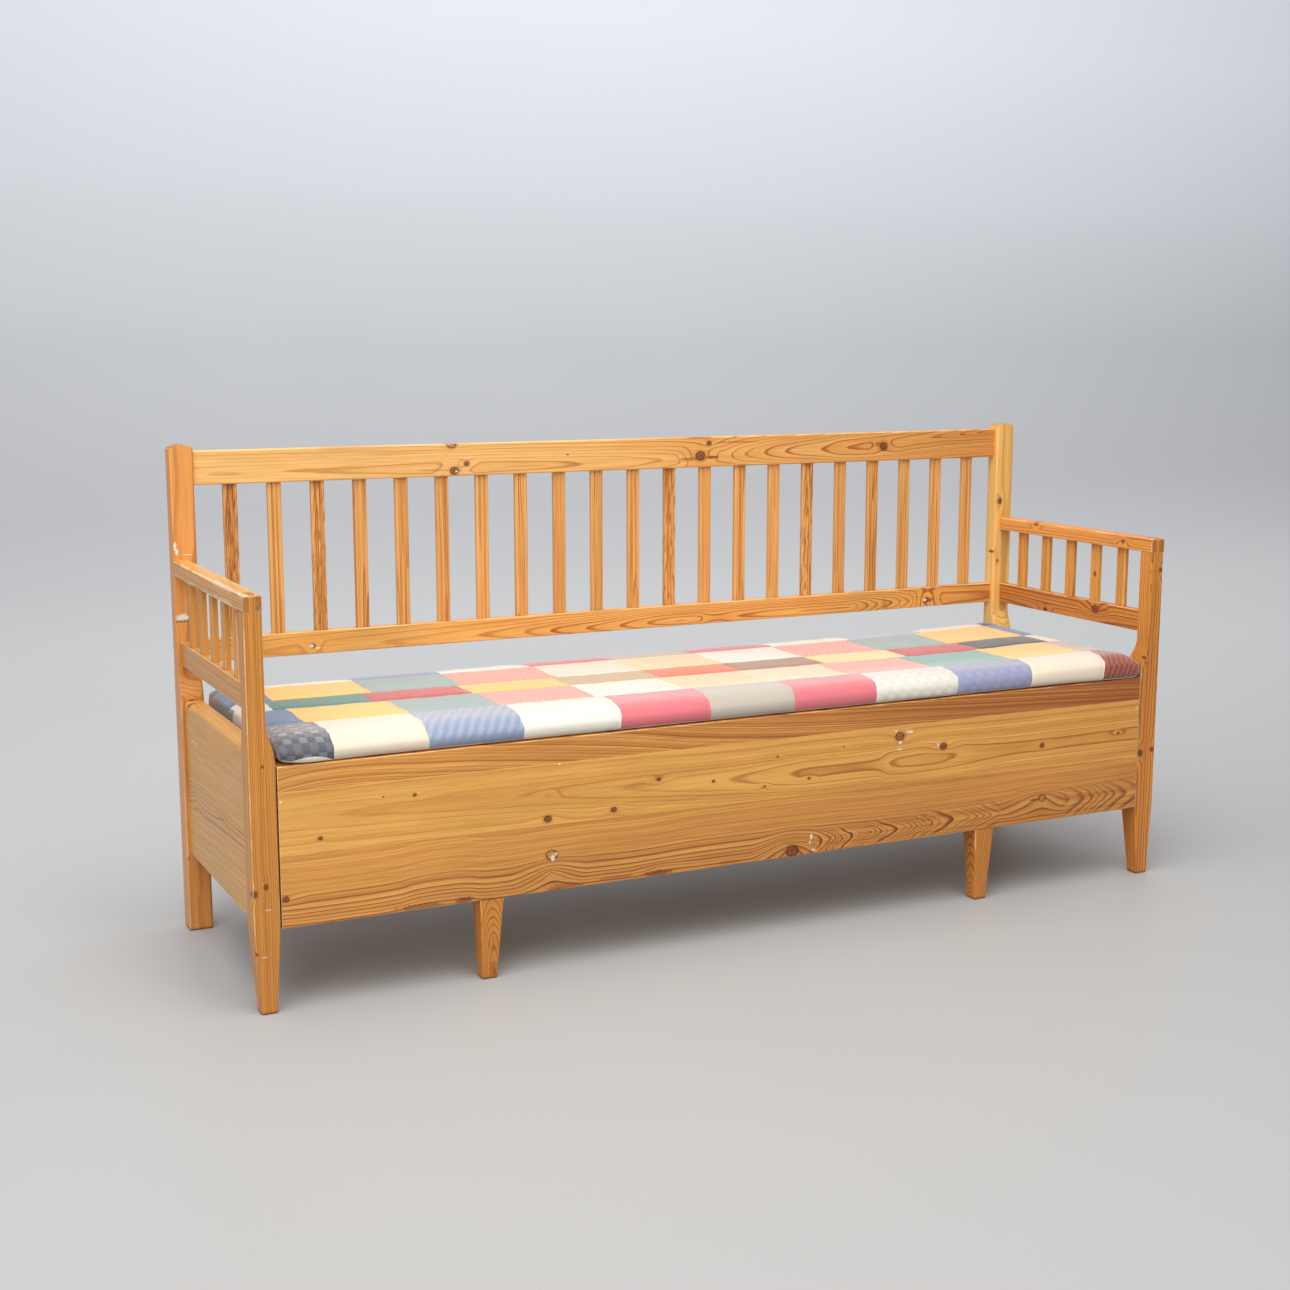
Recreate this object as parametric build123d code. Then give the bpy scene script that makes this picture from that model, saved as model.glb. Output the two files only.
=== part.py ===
from build123d import *
import os

# Swedish pull out bench bed: a pine settle with a spindle back, whose front pulls out to make a bed.
# Millimetres. X runs along the seat (left is -X), -Y is the front, Z = 0 is the floor, the origin is
# the middle of the footprint.

# ---- driving dimensions ------------------------------------------------------------------------
length = 1880.0              # outside of post to outside of post
depth = 536.0                # front of the front posts to the back of the back posts
back_height = 900.0          # shoulders of the back posts' arched tops
arch_rise = 8.0              # how far the arch stands above its shoulders

post_width = 44.5            # full section of the posts, beside the box
post_depth = 45.0
arm_post_width = 31.0        # slimmer section of the front posts, above the seat
arm_post_depth = 34.0
back_post_upper_depth = 33.0
flare_top = 492.0            # the posts swell from the slim to the full section between these
flare_bottom = 418.0
flare_softness = 0.45        # share of the flare's height that each end of the curve runs straight
post_edge_radius = 2.5
back_post_soft_radius = 7.0  # the back posts' front corner towards the seat

foot_height = 146.0          # where the corner feet start to taper
foot_outer_taper = 8.0
foot_inner_taper = 9.5
foot_back_taper = 17.0
foot_chamfer = 1.5

arm_rail_top = 698.0
arm_rail_height = 28.5
arm_rail_radius = 5.0
bridle_tenon = 11.0          # front post's tenon, standing in the arm rail's forked end
lower_rail_top = 548.0
lower_rail_height = 43.5
lower_arm_rail_width = 18.0
outer_recess = 7.0           # end boards and lower arm rails lie this far inside the posts' outer faces
rail_edge_radius = 2.0

crest_bottom = 833.0
crest_height = 62.5
back_rail_recess = 11.0      # the back's rails lie this far behind the posts' front faces
crest_edge_radius = 3.0

slat_width = 26.0
slat_thickness = 10.0
slat_edge_radius = 2.0
groove_width = 4.6
groove_depth = 2.2
back_slat_count = 21
back_slat_end = 68.0         # from a post's inner face to the middle of the end slat
arm_slat_count = 5

end_board_thickness = 36.0
end_board_bottom = 150.0
end_board_top = 438.0
end_board_outer_radius = 10.0
end_board_inner_radius = 4.0

panel_bottom = 142.5
panel_height = 272.3
lower_seam_left = 123.5      # the seams' heights above the panel's lower edge: its boards are
lower_seam_right = 108.0     # sawn with the tree's taper, so they aren't quite level
upper_seam_left = 229.5
upper_seam_right = 227.0
panel_thickness = 22.0
panel_end_gap = 2.0          # between the panel's ends and the posts
panel_edge_radius = 2.0

middle_leg_width = 44.0
middle_leg_depth = 42.0
middle_leg_slat_count = 3    # each leg stands near the third fixed slat from its end,
middle_leg_inset = 8.2       # this much nearer the middle,
middle_leg_shift = -4.0      # and the pair sits a little to the left
middle_leg_inner_taper = 2.0
middle_leg_outer_taper = 15.0
middle_leg_back_taper = 15.0
leg_tongue_top = 262.0       # the legs' tongues run this far up behind the panel
leg_screw_spacing = 60.0

rear_board_thickness = 18.0
rear_board_back_inset = 7.0
lid_thickness = 18.0
lid_end_gap = 4.0
lid_front_gap = 2.0
lid_cleat_width = 60.0
lid_cleat_thickness = 22.0
lid_cleat_spacing = 600.0
lid_cleat_front = 40.0       # cleat's ends, from the lid's front and rear edges
lid_cleat_rear = 38.0
ledger_height = 22.0
ledger_width = 22.0
rear_lid_ledger_width = 34.0

bed_slat_width = 60.0
bed_slat_thickness = 16.0
fixed_slat_count = 12        # one more than the sliding slats, which lie between them
bed_slat_seat = 196.0        # top of what carries the fixed slats
stretcher_height = 40.0
stretcher_thickness = 22.0
stretcher_front = 50.0       # from the sofa's front
cheek_thickness = 18.0
cheek_end_gap = 2.0          # between each cheek and the front post
cheek_lid_gap = 4.8          # between the cheeks' tops and the lid ledgers
cheek_rear_gap = 3.0
tie_batten_depth = 18.0
rear_ledger_depth = 18.0
rear_ledger_gap = 2.5        # between the tie batten and the rear slat ledger
tie_end_gap = 2.0
runner_proud = 1.0           # the runners reach this far past the cheeks
tie_notch_depth = 1.0        # where the tie batten passes under the fixed slats
tie_notch_gap = 2.0          # beside each fixed slat
panel_cleat_width = 50.0
panel_cleat_top = 390.0
panel_cleat_lift = 4.0       # above the sliding slats' seat
seam_screw_offset = 30.0     # cleat screws, above and below the lower seam
top_screw_offset = 8.0       # and above the upper seam
lid_screw_end = 40.0         # lid cleat screws, from the cleats' ends
lid_screw_seam = 60.0        # and from the lid's seam

hinge_spacing = 620.0
hinge_length = 60.0
hinge_leaf_width = 20.0
hinge_leaf_thickness = 1.5
hinge_knuckle_radius = 3.2
hinge_pin_radius = 1.5
hinge_pin_gap = 0.05
hinge_setback = 4.0          # axis behind the lid's rear edge
hinge_inset = 9.0            # axis in front of the rear board

screw_head_radius = 3.6
screw_head_height = 2.4
screw_shank_radius = 1.8
screw_gap = 0.05
screw_stop = 6.0             # a screw through two boards ends this far short of the far face
fixed_leaf_screw_length = 16.0
lid_leaf_screw_length = 14.0

cushion_rear_gap = 2.0       # from the lid's rear edge
cushion_thickness = 40.0
cushion_radius = 13.0

tenon_thickness = 12.0
tenon_shoulder = 8.0         # a rail's tenon is this much lower than the rail, above and below
rail_tenon_length = 30.0
arm_tenon_length = 14.0
board_tongue_length = 9.0
slat_tenon_length = 10.0
glue_gap = 0.1               # round every glued tenon and tongue
sliding_gap = 0.3            # under whatever slides or lies loose

# ---- places worked out from them ---------------------------------------------------------------
half_length = length / 2
front_y = -depth / 2
back_y = depth / 2
post_inner_x = half_length - post_width
arm_inner_x = half_length - arm_post_width
back_post_front_y = back_y - back_post_upper_depth
back_box_y = back_y - post_depth
front_box_y = front_y + post_depth
board_outer_x = half_length - outer_recess
board_inner_x = board_outer_x - end_board_thickness
arm_rail_bottom = arm_rail_top - arm_rail_height
arm_middle_x = half_length - arm_post_width / 2
lower_rail_bottom = lower_rail_top - lower_rail_height
back_rail_y = back_post_front_y + back_rail_recess
back_rail_middle_y = (back_rail_y + back_y) / 2
crest_top = crest_bottom + crest_height

panel_back_y = front_y + panel_thickness
panel_half = post_inner_x - panel_end_gap
panel_top = panel_bottom + panel_height
lower_seam = (panel_bottom + lower_seam_left, panel_bottom + lower_seam_right)
upper_seam = (panel_bottom + upper_seam_left, panel_bottom + upper_seam_right)
lower_seam_middle = sum(lower_seam) / 2
upper_seam_middle = sum(upper_seam) / 2
sliding_seat = bed_slat_seat + sliding_gap

lid_top = panel_top
lid_bottom = lid_top - lid_thickness
rear_board_back_y = back_y - rear_board_back_inset
rear_board_y = rear_board_back_y - rear_board_thickness
lid_half = board_inner_x - lid_end_gap
lid_front_y = panel_back_y + lid_front_gap
hinge_y = rear_board_y - hinge_inset
lid_rear_y = hinge_y - hinge_setback

cheek_outer_x = post_inner_x - cheek_end_gap
cheek_inner_x = cheek_outer_x - cheek_thickness
runner_inner_x = cheek_inner_x - runner_proud
ledger_inner_x = board_inner_x - ledger_width
ledger_bottom = lid_bottom - ledger_height
cheek_top = ledger_bottom - cheek_lid_gap
stretcher_y = front_y + stretcher_front
stretcher_back_y = stretcher_y + stretcher_thickness
rear_ledger_y = rear_board_y - rear_ledger_depth
tie_rear_y = rear_ledger_y - rear_ledger_gap
tie_front_y = tie_rear_y - tie_batten_depth
pull_out_travel = tie_front_y - stretcher_back_y - sliding_gap

bed_slat_total = 2 * fixed_slat_count - 1
bed_slat_gap = (2 * cheek_inner_x - bed_slat_total * bed_slat_width) / (bed_slat_total + 1)
bed_slat_pitch = bed_slat_width + bed_slat_gap
first_bed_slat_x = -cheek_inner_x + bed_slat_gap + bed_slat_width / 2
fixed_slat_places = [first_bed_slat_x + i * bed_slat_pitch for i in range(0, bed_slat_total, 2)]
sliding_slat_places = [first_bed_slat_x + i * bed_slat_pitch for i in range(1, bed_slat_total, 2)]
middle_leg_half = fixed_slat_places[-middle_leg_slat_count] - middle_leg_inset
middle_leg_places = [middle_leg_shift - middle_leg_half, middle_leg_shift + middle_leg_half]
hinge_places = [-hinge_spacing, 0.0, hinge_spacing]

sides = {"left": -1, "right": 1}
parts = {}


# ---- helpers -----------------------------------------------------------------------------------
def block(x, y, z):
    """A box between two limits along each axis, given as (low, high) pairs in any order."""
    low = [min(x), min(y), min(z)]
    high = [max(x), max(y), max(z)]
    size = [b - a for a, b in zip(low, high)]
    return Pos(*low) * Box(*size, align=(Align.MIN, Align.MIN, Align.MIN))


def grown(x, y, z, gap):
    """The same box, larger by a gap all round: the mortise for a tenon."""
    return block((min(x) - gap, max(x) + gap), (min(y) - gap, max(y) + gap), (min(z) - gap, max(z) + gap))


def mortised(piece, tenons):
    """Cut a mortise into a piece for each tenon, a tuple of three limit pairs."""
    for tenon in tenons:
        piece = piece - grown(*tenon, glue_gap)
    return piece


def round_long_edges(piece, axis, radius):
    """Round the four edges of a bar that run along an axis."""
    return fillet(piece.edges().filter_by(axis), radius)


def upright_edges(piece, least):
    """The edges that climb by more than a given height."""
    return piece.edges().filter_by(lambda edge: edge.bounding_box().size.Z > least)


def flare(start, end):
    """An S-shaped curve between two points, upright at both ends."""
    reach = (start[1] - end[1]) * flare_softness
    return Bezier(start, (start[0], start[1] - reach), (end[0], end[1] + reach), end)


def front_outline(*pieces):
    """A closed outline drawn in X and Z, extruded through the whole depth."""
    face = make_face(Plane.XZ * (Curve() + list(pieces)))
    return extrude(face, amount=depth, both=True)


def side_outline(*pieces):
    """A closed outline drawn in Y and Z, extruded through the whole length."""
    face = make_face(Plane.YZ * (Curve() + list(pieces)))
    return extrude(face, amount=length, both=True)


def on_side(piece, side):
    """Pieces are drawn for the right-hand side, and mirrored for the left."""
    return piece if sides[side] > 0 else mirror(piece, about=Plane.YZ)


def along_x(limits, side):
    """An X limit pair for one side."""
    return tuple(sides[side] * value for value in limits)


# ---- tenons and tongues, drawn for the right-hand side -------------------------------------------
rail_tenon_y = (back_rail_middle_y - tenon_thickness / 2, back_rail_middle_y + tenon_thickness / 2)
crest_tenon = ((post_inner_x, post_inner_x + rail_tenon_length), rail_tenon_y,
               (crest_bottom + tenon_shoulder, crest_top - 2 * tenon_shoulder))
lower_rail_tenon = ((post_inner_x, post_inner_x + rail_tenon_length), rail_tenon_y,
                    (lower_rail_bottom + tenon_shoulder, lower_rail_top - tenon_shoulder))
arm_tenon_x = (arm_middle_x - bridle_tenon / 2, arm_middle_x + bridle_tenon / 2)
arm_tenon = (arm_tenon_x, (back_post_front_y, back_post_front_y + arm_tenon_length),
             (arm_rail_bottom + tenon_shoulder / 2, arm_rail_top - tenon_shoulder))
lower_arm_x = (board_outer_x - lower_arm_rail_width, board_outer_x)
lower_arm_tenon_x = (lower_arm_x[0] + 4.0, lower_arm_x[1] - 4.0)
lower_arm_tenon_z = (lower_rail_bottom + tenon_shoulder, lower_rail_top - tenon_shoulder)
arm_post_back_y = front_y + arm_post_depth
lower_arm_front_tenon = (lower_arm_tenon_x, (arm_post_back_y - arm_tenon_length, arm_post_back_y),
                         lower_arm_tenon_z)
lower_arm_back_tenon = (lower_arm_tenon_x, (back_post_front_y, back_post_front_y + arm_tenon_length),
                        lower_arm_tenon_z)
tongue_x = ((board_inner_x + board_outer_x - tenon_thickness) / 2,
            (board_inner_x + board_outer_x + tenon_thickness) / 2)
tongue_z = (end_board_bottom + tenon_shoulder, end_board_top - 2 * tenon_shoulder)
front_tongue = (tongue_x, (front_box_y - board_tongue_length, front_box_y), tongue_z)
back_tongue = (tongue_x, (back_box_y, back_box_y + board_tongue_length), tongue_z)
rear_tongue_y = (rear_board_y + 3.0, rear_board_back_y - 3.0)
rear_tongue = ((post_inner_x, post_inner_x + board_tongue_length), rear_tongue_y,
               (panel_bottom + tenon_shoulder, lid_bottom - tenon_shoulder))
stretcher_z = (bed_slat_seat - stretcher_height, bed_slat_seat)
stretcher_tenon = ((board_inner_x, board_inner_x + board_tongue_length),
                   (stretcher_y + 5.0, stretcher_back_y - 5.0),
                   (stretcher_z[0] + tenon_shoulder, stretcher_z[1] - tenon_shoulder))


# ---- posts ---------------------------------------------------------------------------------------
def front_post():
    outer = half_length
    top = arm_rail_top
    front = front_outline(
        Polyline((post_inner_x + foot_inner_taper, 0), (outer - foot_outer_taper, 0), (outer, foot_height),
                 (outer, top), (arm_inner_x, top), (arm_inner_x, flare_top)),
        flare((arm_inner_x, flare_top), (post_inner_x, flare_bottom)),
        Polyline((post_inner_x, flare_bottom), (post_inner_x, foot_height),
                 (post_inner_x + foot_inner_taper, 0)))
    side = side_outline(
        Polyline((front_box_y - foot_back_taper, 0), (front_y, 0), (front_y, top), (arm_post_back_y, top),
                 (arm_post_back_y, flare_top)),
        flare((arm_post_back_y, flare_top), (front_box_y, end_board_top)),
        Polyline((front_box_y, end_board_top), (front_box_y, foot_height),
                 (front_box_y - foot_back_taper, 0)))
    post = front & side
    corners = upright_edges(post, post_depth / 2)
    post = fillet(corners, post_edge_radius)
    post = chamfer(post.faces().sort_by(Axis.Z)[0].edges(), foot_chamfer)
    for x in ((arm_inner_x - 1, arm_tenon_x[0]), (arm_tenon_x[1], outer + 1)):
        post = post - block(x, (front_y - 1, arm_post_back_y + 1), (arm_rail_bottom, top + 1))
    tip = post.edges().filter_by(Axis.X).group_by(Axis.Z)[-1].sort_by(Axis.Y)[0]
    post = fillet(tip, arm_rail_radius)
    return mortised(post, [lower_arm_front_tenon, front_tongue])


def back_post():
    inner = post_inner_x
    outer = half_length
    middle = (inner + outer) / 2
    front = front_outline(
        Polyline((inner, back_height), (inner, 0), (outer, 0), (outer, back_height)),
        ThreePointArc((outer, back_height), (middle, back_height + arch_rise), (inner, back_height)))
    peak = back_height + arch_rise + 1
    side = side_outline(
        Polyline((back_box_y, 0), (back_y, 0), (back_y, peak), (back_post_front_y, peak),
                 (back_post_front_y, flare_top)),
        flare((back_post_front_y, flare_top), (back_box_y, end_board_top)),
        Polyline((back_box_y, end_board_top), (back_box_y, 0)))
    post = front & side
    behind = back_y - back_post_upper_depth / 2
    soft = upright_edges(post, 0)
    soft = soft.filter_by(lambda edge: edge.center().X < middle and edge.center().Y < behind)
    post = fillet(soft, back_post_soft_radius)
    sharp = upright_edges(post, post_depth / 2)
    sharp = sharp.filter_by(lambda edge: edge.center().X > middle or edge.center().Y > behind)
    post = fillet(sharp, post_edge_radius)
    post = chamfer(post.faces().sort_by(Axis.Z)[0].edges(), foot_chamfer)
    return mortised(post, [crest_tenon, lower_rail_tenon, arm_tenon, lower_arm_back_tenon, back_tongue,
                           rear_tongue])


# ---- ends and arms -------------------------------------------------------------------------------
arm_bay = back_post_front_y - arm_post_back_y
arm_slat_gap = (arm_bay - arm_slat_count * slat_width) / (arm_slat_count + 1)
arm_slat_places = [arm_post_back_y + arm_slat_gap + slat_width / 2 + i * (slat_width + arm_slat_gap)
                   for i in range(arm_slat_count)]
arm_slat_middle_x = (lower_arm_x[0] + lower_arm_x[1]) / 2
arm_slat_z = (lower_rail_top - slat_tenon_length, arm_rail_bottom + slat_tenon_length)
arm_slat_x = (arm_slat_middle_x - slat_thickness / 2, arm_slat_middle_x + slat_thickness / 2)


def reeded_slat(height):
    """A flat slat on the floor with two shallow grooves in its front face, which then reads as three reeds."""
    slat = block((-slat_width / 2, slat_width / 2), (-slat_thickness / 2, slat_thickness / 2), (0, height))
    slat = round_long_edges(slat, Axis.Z, slat_edge_radius)
    sag = groove_width ** 2 / (8 * groove_depth) + groove_depth / 2
    for share in (-1, 1):
        centre = Pos(share * slat_width / 6, groove_depth - sag - slat_thickness / 2, 0)
        slat = slat - centre * Cylinder(sag, height, align=(Align.CENTER, Align.CENTER, Align.MIN))
    return slat


def arm_slats():
    slat = Rot(0, 0, -90) * reeded_slat(arm_slat_z[1] - arm_slat_z[0])
    return [Pos(arm_slat_middle_x, y, arm_slat_z[0]) * slat for y in arm_slat_places]


def arm_slat_mortises():
    return [(arm_slat_x, (y - slat_width / 2, y + slat_width / 2), arm_slat_z) for y in arm_slat_places]


def arm_rail():
    rail = block((arm_inner_x, half_length), (front_y, back_post_front_y), (arm_rail_bottom, arm_rail_top))
    upper = rail.edges().filter_by(Axis.Y).group_by(Axis.Z)[-1]
    nose = rail.edges().filter_by(Axis.X).group_by(Axis.Z)[-1].sort_by(Axis.Y)[0]
    rail = fillet(upper + [nose], arm_rail_radius)
    rail = fillet(rail.edges().filter_by(Axis.Y).group_by(Axis.Z)[0], rail_edge_radius)
    slot_x = (arm_tenon_x[0] - glue_gap, arm_tenon_x[1] + glue_gap)
    slot_y = (front_y - 1, arm_post_back_y + glue_gap)
    rail = rail - block(slot_x, slot_y, (arm_rail_bottom - 1, arm_rail_top + 1))
    rail = rail + block(*arm_tenon)
    return mortised(rail, arm_slat_mortises())


def lower_arm_rail():
    rail = block(lower_arm_x, (arm_post_back_y, back_post_front_y), (lower_rail_bottom, lower_rail_top))
    rail = round_long_edges(rail, Axis.Y, rail_edge_radius)
    rail = rail + block(*lower_arm_front_tenon) + block(*lower_arm_back_tenon)
    return mortised(rail, arm_slat_mortises())


def end_board():
    board_z = (end_board_bottom, end_board_top)
    board = block((board_inner_x, board_outer_x), (front_box_y, back_box_y), board_z)
    top = board.edges().filter_by(Axis.Y).group_by(Axis.Z)[-1].sort_by(Axis.X)
    board = fillet(top[-1], end_board_outer_radius)
    top = board.edges().filter_by(Axis.Y).filter_by(lambda edge: edge.center().X < board_inner_x + 1)
    board = fillet(top.sort_by(Axis.Z)[-1], end_board_inner_radius)
    bottom = board.edges().filter_by(Axis.Y).group_by(Axis.Z)[0]
    board = fillet(bottom, rail_edge_radius)
    board = board + block(*front_tongue) + block(*back_tongue)
    return mortised(board, [stretcher_tenon])


for side in sides:
    parts[side + "_front_post"] = on_side(front_post(), side)
    parts[side + "_back_post"] = on_side(back_post(), side)
    parts[side + "_arm_rail"] = on_side(arm_rail(), side)
    parts[side + "_lower_arm_rail"] = on_side(lower_arm_rail(), side)
    parts[side + "_arm_slats"] = [on_side(slat, side) for slat in arm_slats()]
    parts[side + "_end_board"] = on_side(end_board(), side)

# ---- back ----------------------------------------------------------------------------------------
back_slat_pitch = 2 * (post_inner_x - back_slat_end) / (back_slat_count - 1)
back_slat_places = [(i - (back_slat_count - 1) / 2) * back_slat_pitch for i in range(back_slat_count)]
back_slat_front_y = back_rail_middle_y - slat_thickness / 2
back_slat_z = (lower_rail_top - slat_tenon_length, crest_bottom + slat_tenon_length)
back_slat_y = (back_slat_front_y, back_slat_front_y + slat_thickness)


def back_rail(bottom, top, radius, tenon):
    rail = block((-post_inner_x, post_inner_x), (back_rail_y, back_y), (bottom, top))
    rail = round_long_edges(rail, Axis.X, radius)
    for side in sides:
        rail = rail + block(along_x(tenon[0], side), *tenon[1:])
    mortises = [((x - slat_width / 2, x + slat_width / 2), back_slat_y, back_slat_z) for x in back_slat_places]
    return mortised(rail, mortises)


parts["crest_rail"] = back_rail(crest_bottom, crest_top, crest_edge_radius, crest_tenon)
parts["lower_back_rail"] = back_rail(lower_rail_bottom, lower_rail_top, rail_edge_radius, lower_rail_tenon)
back_slat = reeded_slat(back_slat_z[1] - back_slat_z[0])
parts["back_slats"] = [Pos(x, back_rail_middle_y, back_slat_z[0]) * back_slat for x in back_slat_places]

# ---- box: rear board, stretcher, ledgers and runners ---------------------------------------------
rear_board = block((-post_inner_x, post_inner_x), (rear_board_y, rear_board_back_y), (panel_bottom, lid_bottom))
for side in sides:
    rear_board = rear_board + block(along_x(rear_tongue[0], side), *rear_tongue[1:])
parts["rear_board"] = rear_board

stretcher = block((-board_inner_x, board_inner_x), (stretcher_y, stretcher_back_y), stretcher_z)
for side in sides:
    stretcher = stretcher + block(along_x(stretcher_tenon[0], side), *stretcher_tenon[1:])
parts["front_stretcher"] = stretcher

runner_z = (bed_slat_seat - ledger_height, bed_slat_seat)
parts["rear_slat_ledger"] = block((-runner_inner_x, runner_inner_x), (rear_ledger_y, rear_board_y), runner_z)
for side in sides:
    runner_x = along_x((runner_inner_x, board_inner_x), side)
    parts[side + "_runner"] = block(runner_x, (stretcher_back_y, back_box_y), runner_z)
    ledger_x = along_x((ledger_inner_x, board_inner_x), side)
    parts[side + "_lid_ledger"] = block(ledger_x, (front_box_y, back_box_y), (ledger_bottom, lid_bottom))

fixed_slat_z = (bed_slat_seat, bed_slat_seat + bed_slat_thickness)
parts["fixed_bed_slats"] = [block((x - bed_slat_width / 2, x + bed_slat_width / 2), (stretcher_y, rear_board_y),
                                  fixed_slat_z) for x in fixed_slat_places]


# ---- screws --------------------------------------------------------------------------------------
def screw(length_in, gap=0.0):
    """A countersunk screw pointing down -Z, its head's top face at the origin."""
    head = Cone(screw_shank_radius + gap, screw_head_radius + gap, screw_head_height,
                align=(Align.CENTER, Align.CENTER, Align.MAX))
    shank = Cylinder(screw_shank_radius + gap, length_in + gap, align=(Align.CENTER, Align.CENTER, Align.MAX))
    return head + shank


def screwed(names, group, places, length_in):
    """Put a screw at each place, and cut its hole in each named part."""
    parts[group] = [place * screw(length_in) for place in places]
    for name in names:
        pieces = parts[name] if isinstance(parts[name], list) else [parts[name]]
        for place in places:
            hole = place * screw(length_in, screw_gap)
            box = hole.bounding_box()
            pieces = [piece - hole if near(piece, box) else piece for piece in pieces]
        parts[name] = pieces if isinstance(parts[name], list) else pieces[0]


def near(piece, box):
    """Whether a piece's bounding box meets another box."""
    own = piece.bounding_box()
    return all(getattr(own.min, axis) < getattr(box.max, axis) and getattr(own.max, axis) > getattr(box.min, axis)
               for axis in "XYZ")


# ---- pull-out front ------------------------------------------------------------------------------
def panel_board(lower, upper):
    """A board between two edges, each given by its heights at the left and the right end."""
    outline = front_outline(Polyline((-panel_half, lower[0]), (panel_half, lower[1]), (panel_half, upper[1]),
                                     (-panel_half, upper[0]), (-panel_half, lower[0])))
    board = outline & block((-length, length), (front_y, panel_back_y), (0, back_height))
    level = board.edges().filter_by(Axis.X).filter_by(lambda edge: edge.center().Y < panel_back_y - 1)
    return fillet(level, panel_edge_radius) if level else board


panel_edges = [(panel_bottom, panel_bottom), lower_seam, upper_seam, (panel_top, panel_top)]
parts["panel_bottom_board"] = panel_board(panel_edges[0], panel_edges[1])
parts["panel_middle_board"] = panel_board(panel_edges[1], panel_edges[2])
parts["panel_top_board"] = panel_board(panel_edges[2], panel_edges[3])


def middle_leg(x):
    """A tapered leg under the panel, with a tongue running up behind it."""
    low = x - middle_leg_width / 2
    high = x + middle_leg_width / 2
    leg_back_y = front_y + middle_leg_depth
    front = front_outline(Polyline((low + middle_leg_inner_taper, 0), (high - middle_leg_outer_taper, 0),
                                   (high, panel_bottom), (high, leg_tongue_top), (low, leg_tongue_top),
                                   (low, panel_bottom), (low + middle_leg_inner_taper, 0)))
    side = side_outline(Polyline((leg_back_y - middle_leg_back_taper, 0), (front_y, 0), (front_y, panel_bottom),
                                 (panel_back_y, panel_bottom), (panel_back_y, leg_tongue_top),
                                 (leg_back_y, leg_tongue_top), (leg_back_y, panel_bottom),
                                 (leg_back_y - middle_leg_back_taper, 0)))
    leg = front & side
    corners = upright_edges(leg, panel_bottom / 2)
    corners = corners.filter_by(lambda edge: edge.center().Z < panel_bottom or edge.center().Y > panel_back_y + 1)
    leg = fillet(corners, post_edge_radius)
    return chamfer(leg.faces().sort_by(Axis.Z)[0].edges(), foot_chamfer)


for side, x in zip(sides, middle_leg_places):
    parts[side + "_middle_leg"] = middle_leg(x)

panel_ledger_z = (sliding_seat - ledger_height, sliding_seat)
ledger_stops = [-cheek_inner_x]
for x in middle_leg_places:
    ledger_stops += [x - middle_leg_width / 2 - glue_gap, x + middle_leg_width / 2 + glue_gap]
ledger_stops.append(cheek_inner_x)
parts["panel_ledger"] = [block((ledger_stops[i], ledger_stops[i + 1]),
                               (panel_back_y, panel_back_y + ledger_width), panel_ledger_z)
                         for i in range(0, len(ledger_stops), 2)]

sliding_slat_z = (sliding_seat, sliding_seat + bed_slat_thickness)
parts["sliding_bed_slats"] = [block((x - bed_slat_width / 2, x + bed_slat_width / 2),
                                    (panel_back_y, tie_rear_y), sliding_slat_z) for x in sliding_slat_places]
tie_half = runner_inner_x - tie_end_gap
tie_batten = block((-tie_half, tie_half), (tie_front_y, tie_rear_y), panel_ledger_z)
for x in fixed_slat_places:
    notch_half = bed_slat_width / 2 + tie_notch_gap
    tie_batten = tie_batten - block((x - notch_half, x + notch_half), (tie_front_y - 1, tie_rear_y + 1),
                                    (sliding_seat - tie_notch_depth, sliding_seat + 1))
parts["tie_batten"] = tie_batten

for side in sides:
    cheek_x = along_x((cheek_inner_x, cheek_outer_x), side)
    parts[side + "_cheek"] = block(cheek_x, (panel_back_y, back_box_y - cheek_rear_gap), (sliding_seat, cheek_top))

cleat_places = fixed_slat_places[1::3]
parts["panel_cleats"] = [block((x - panel_cleat_width / 2, x + panel_cleat_width / 2),
                               (panel_back_y, panel_back_y + bed_slat_thickness),
                               (sliding_slat_z[0] + panel_cleat_lift, panel_cleat_top)) for x in cleat_places]

leg_back_y = front_y + middle_leg_depth
tongue_middle = (panel_bottom + lower_seam_middle) / 2
tongue_screw_heights = [tongue_middle - leg_screw_spacing / 2, tongue_middle + leg_screw_spacing / 2]
leg_screws = [Pos(x, leg_back_y, z) * Rot(-90, 0, 0) for x in middle_leg_places for z in tongue_screw_heights]
screwed(["left_middle_leg", "right_middle_leg", "panel_bottom_board"], "leg_screws", leg_screws,
        middle_leg_depth - screw_stop)
cleat_screw_heights = [lower_seam_middle - seam_screw_offset, lower_seam_middle + seam_screw_offset,
                       upper_seam_middle + top_screw_offset]
cleat_screws = [Pos(x, panel_back_y + bed_slat_thickness, z) * Rot(-90, 0, 0)
                for x in cleat_places for z in cleat_screw_heights]
screwed(["panel_cleats", "panel_bottom_board", "panel_middle_board", "panel_top_board"], "panel_cleat_screws",
        cleat_screws, bed_slat_thickness + panel_thickness - screw_stop)

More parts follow.
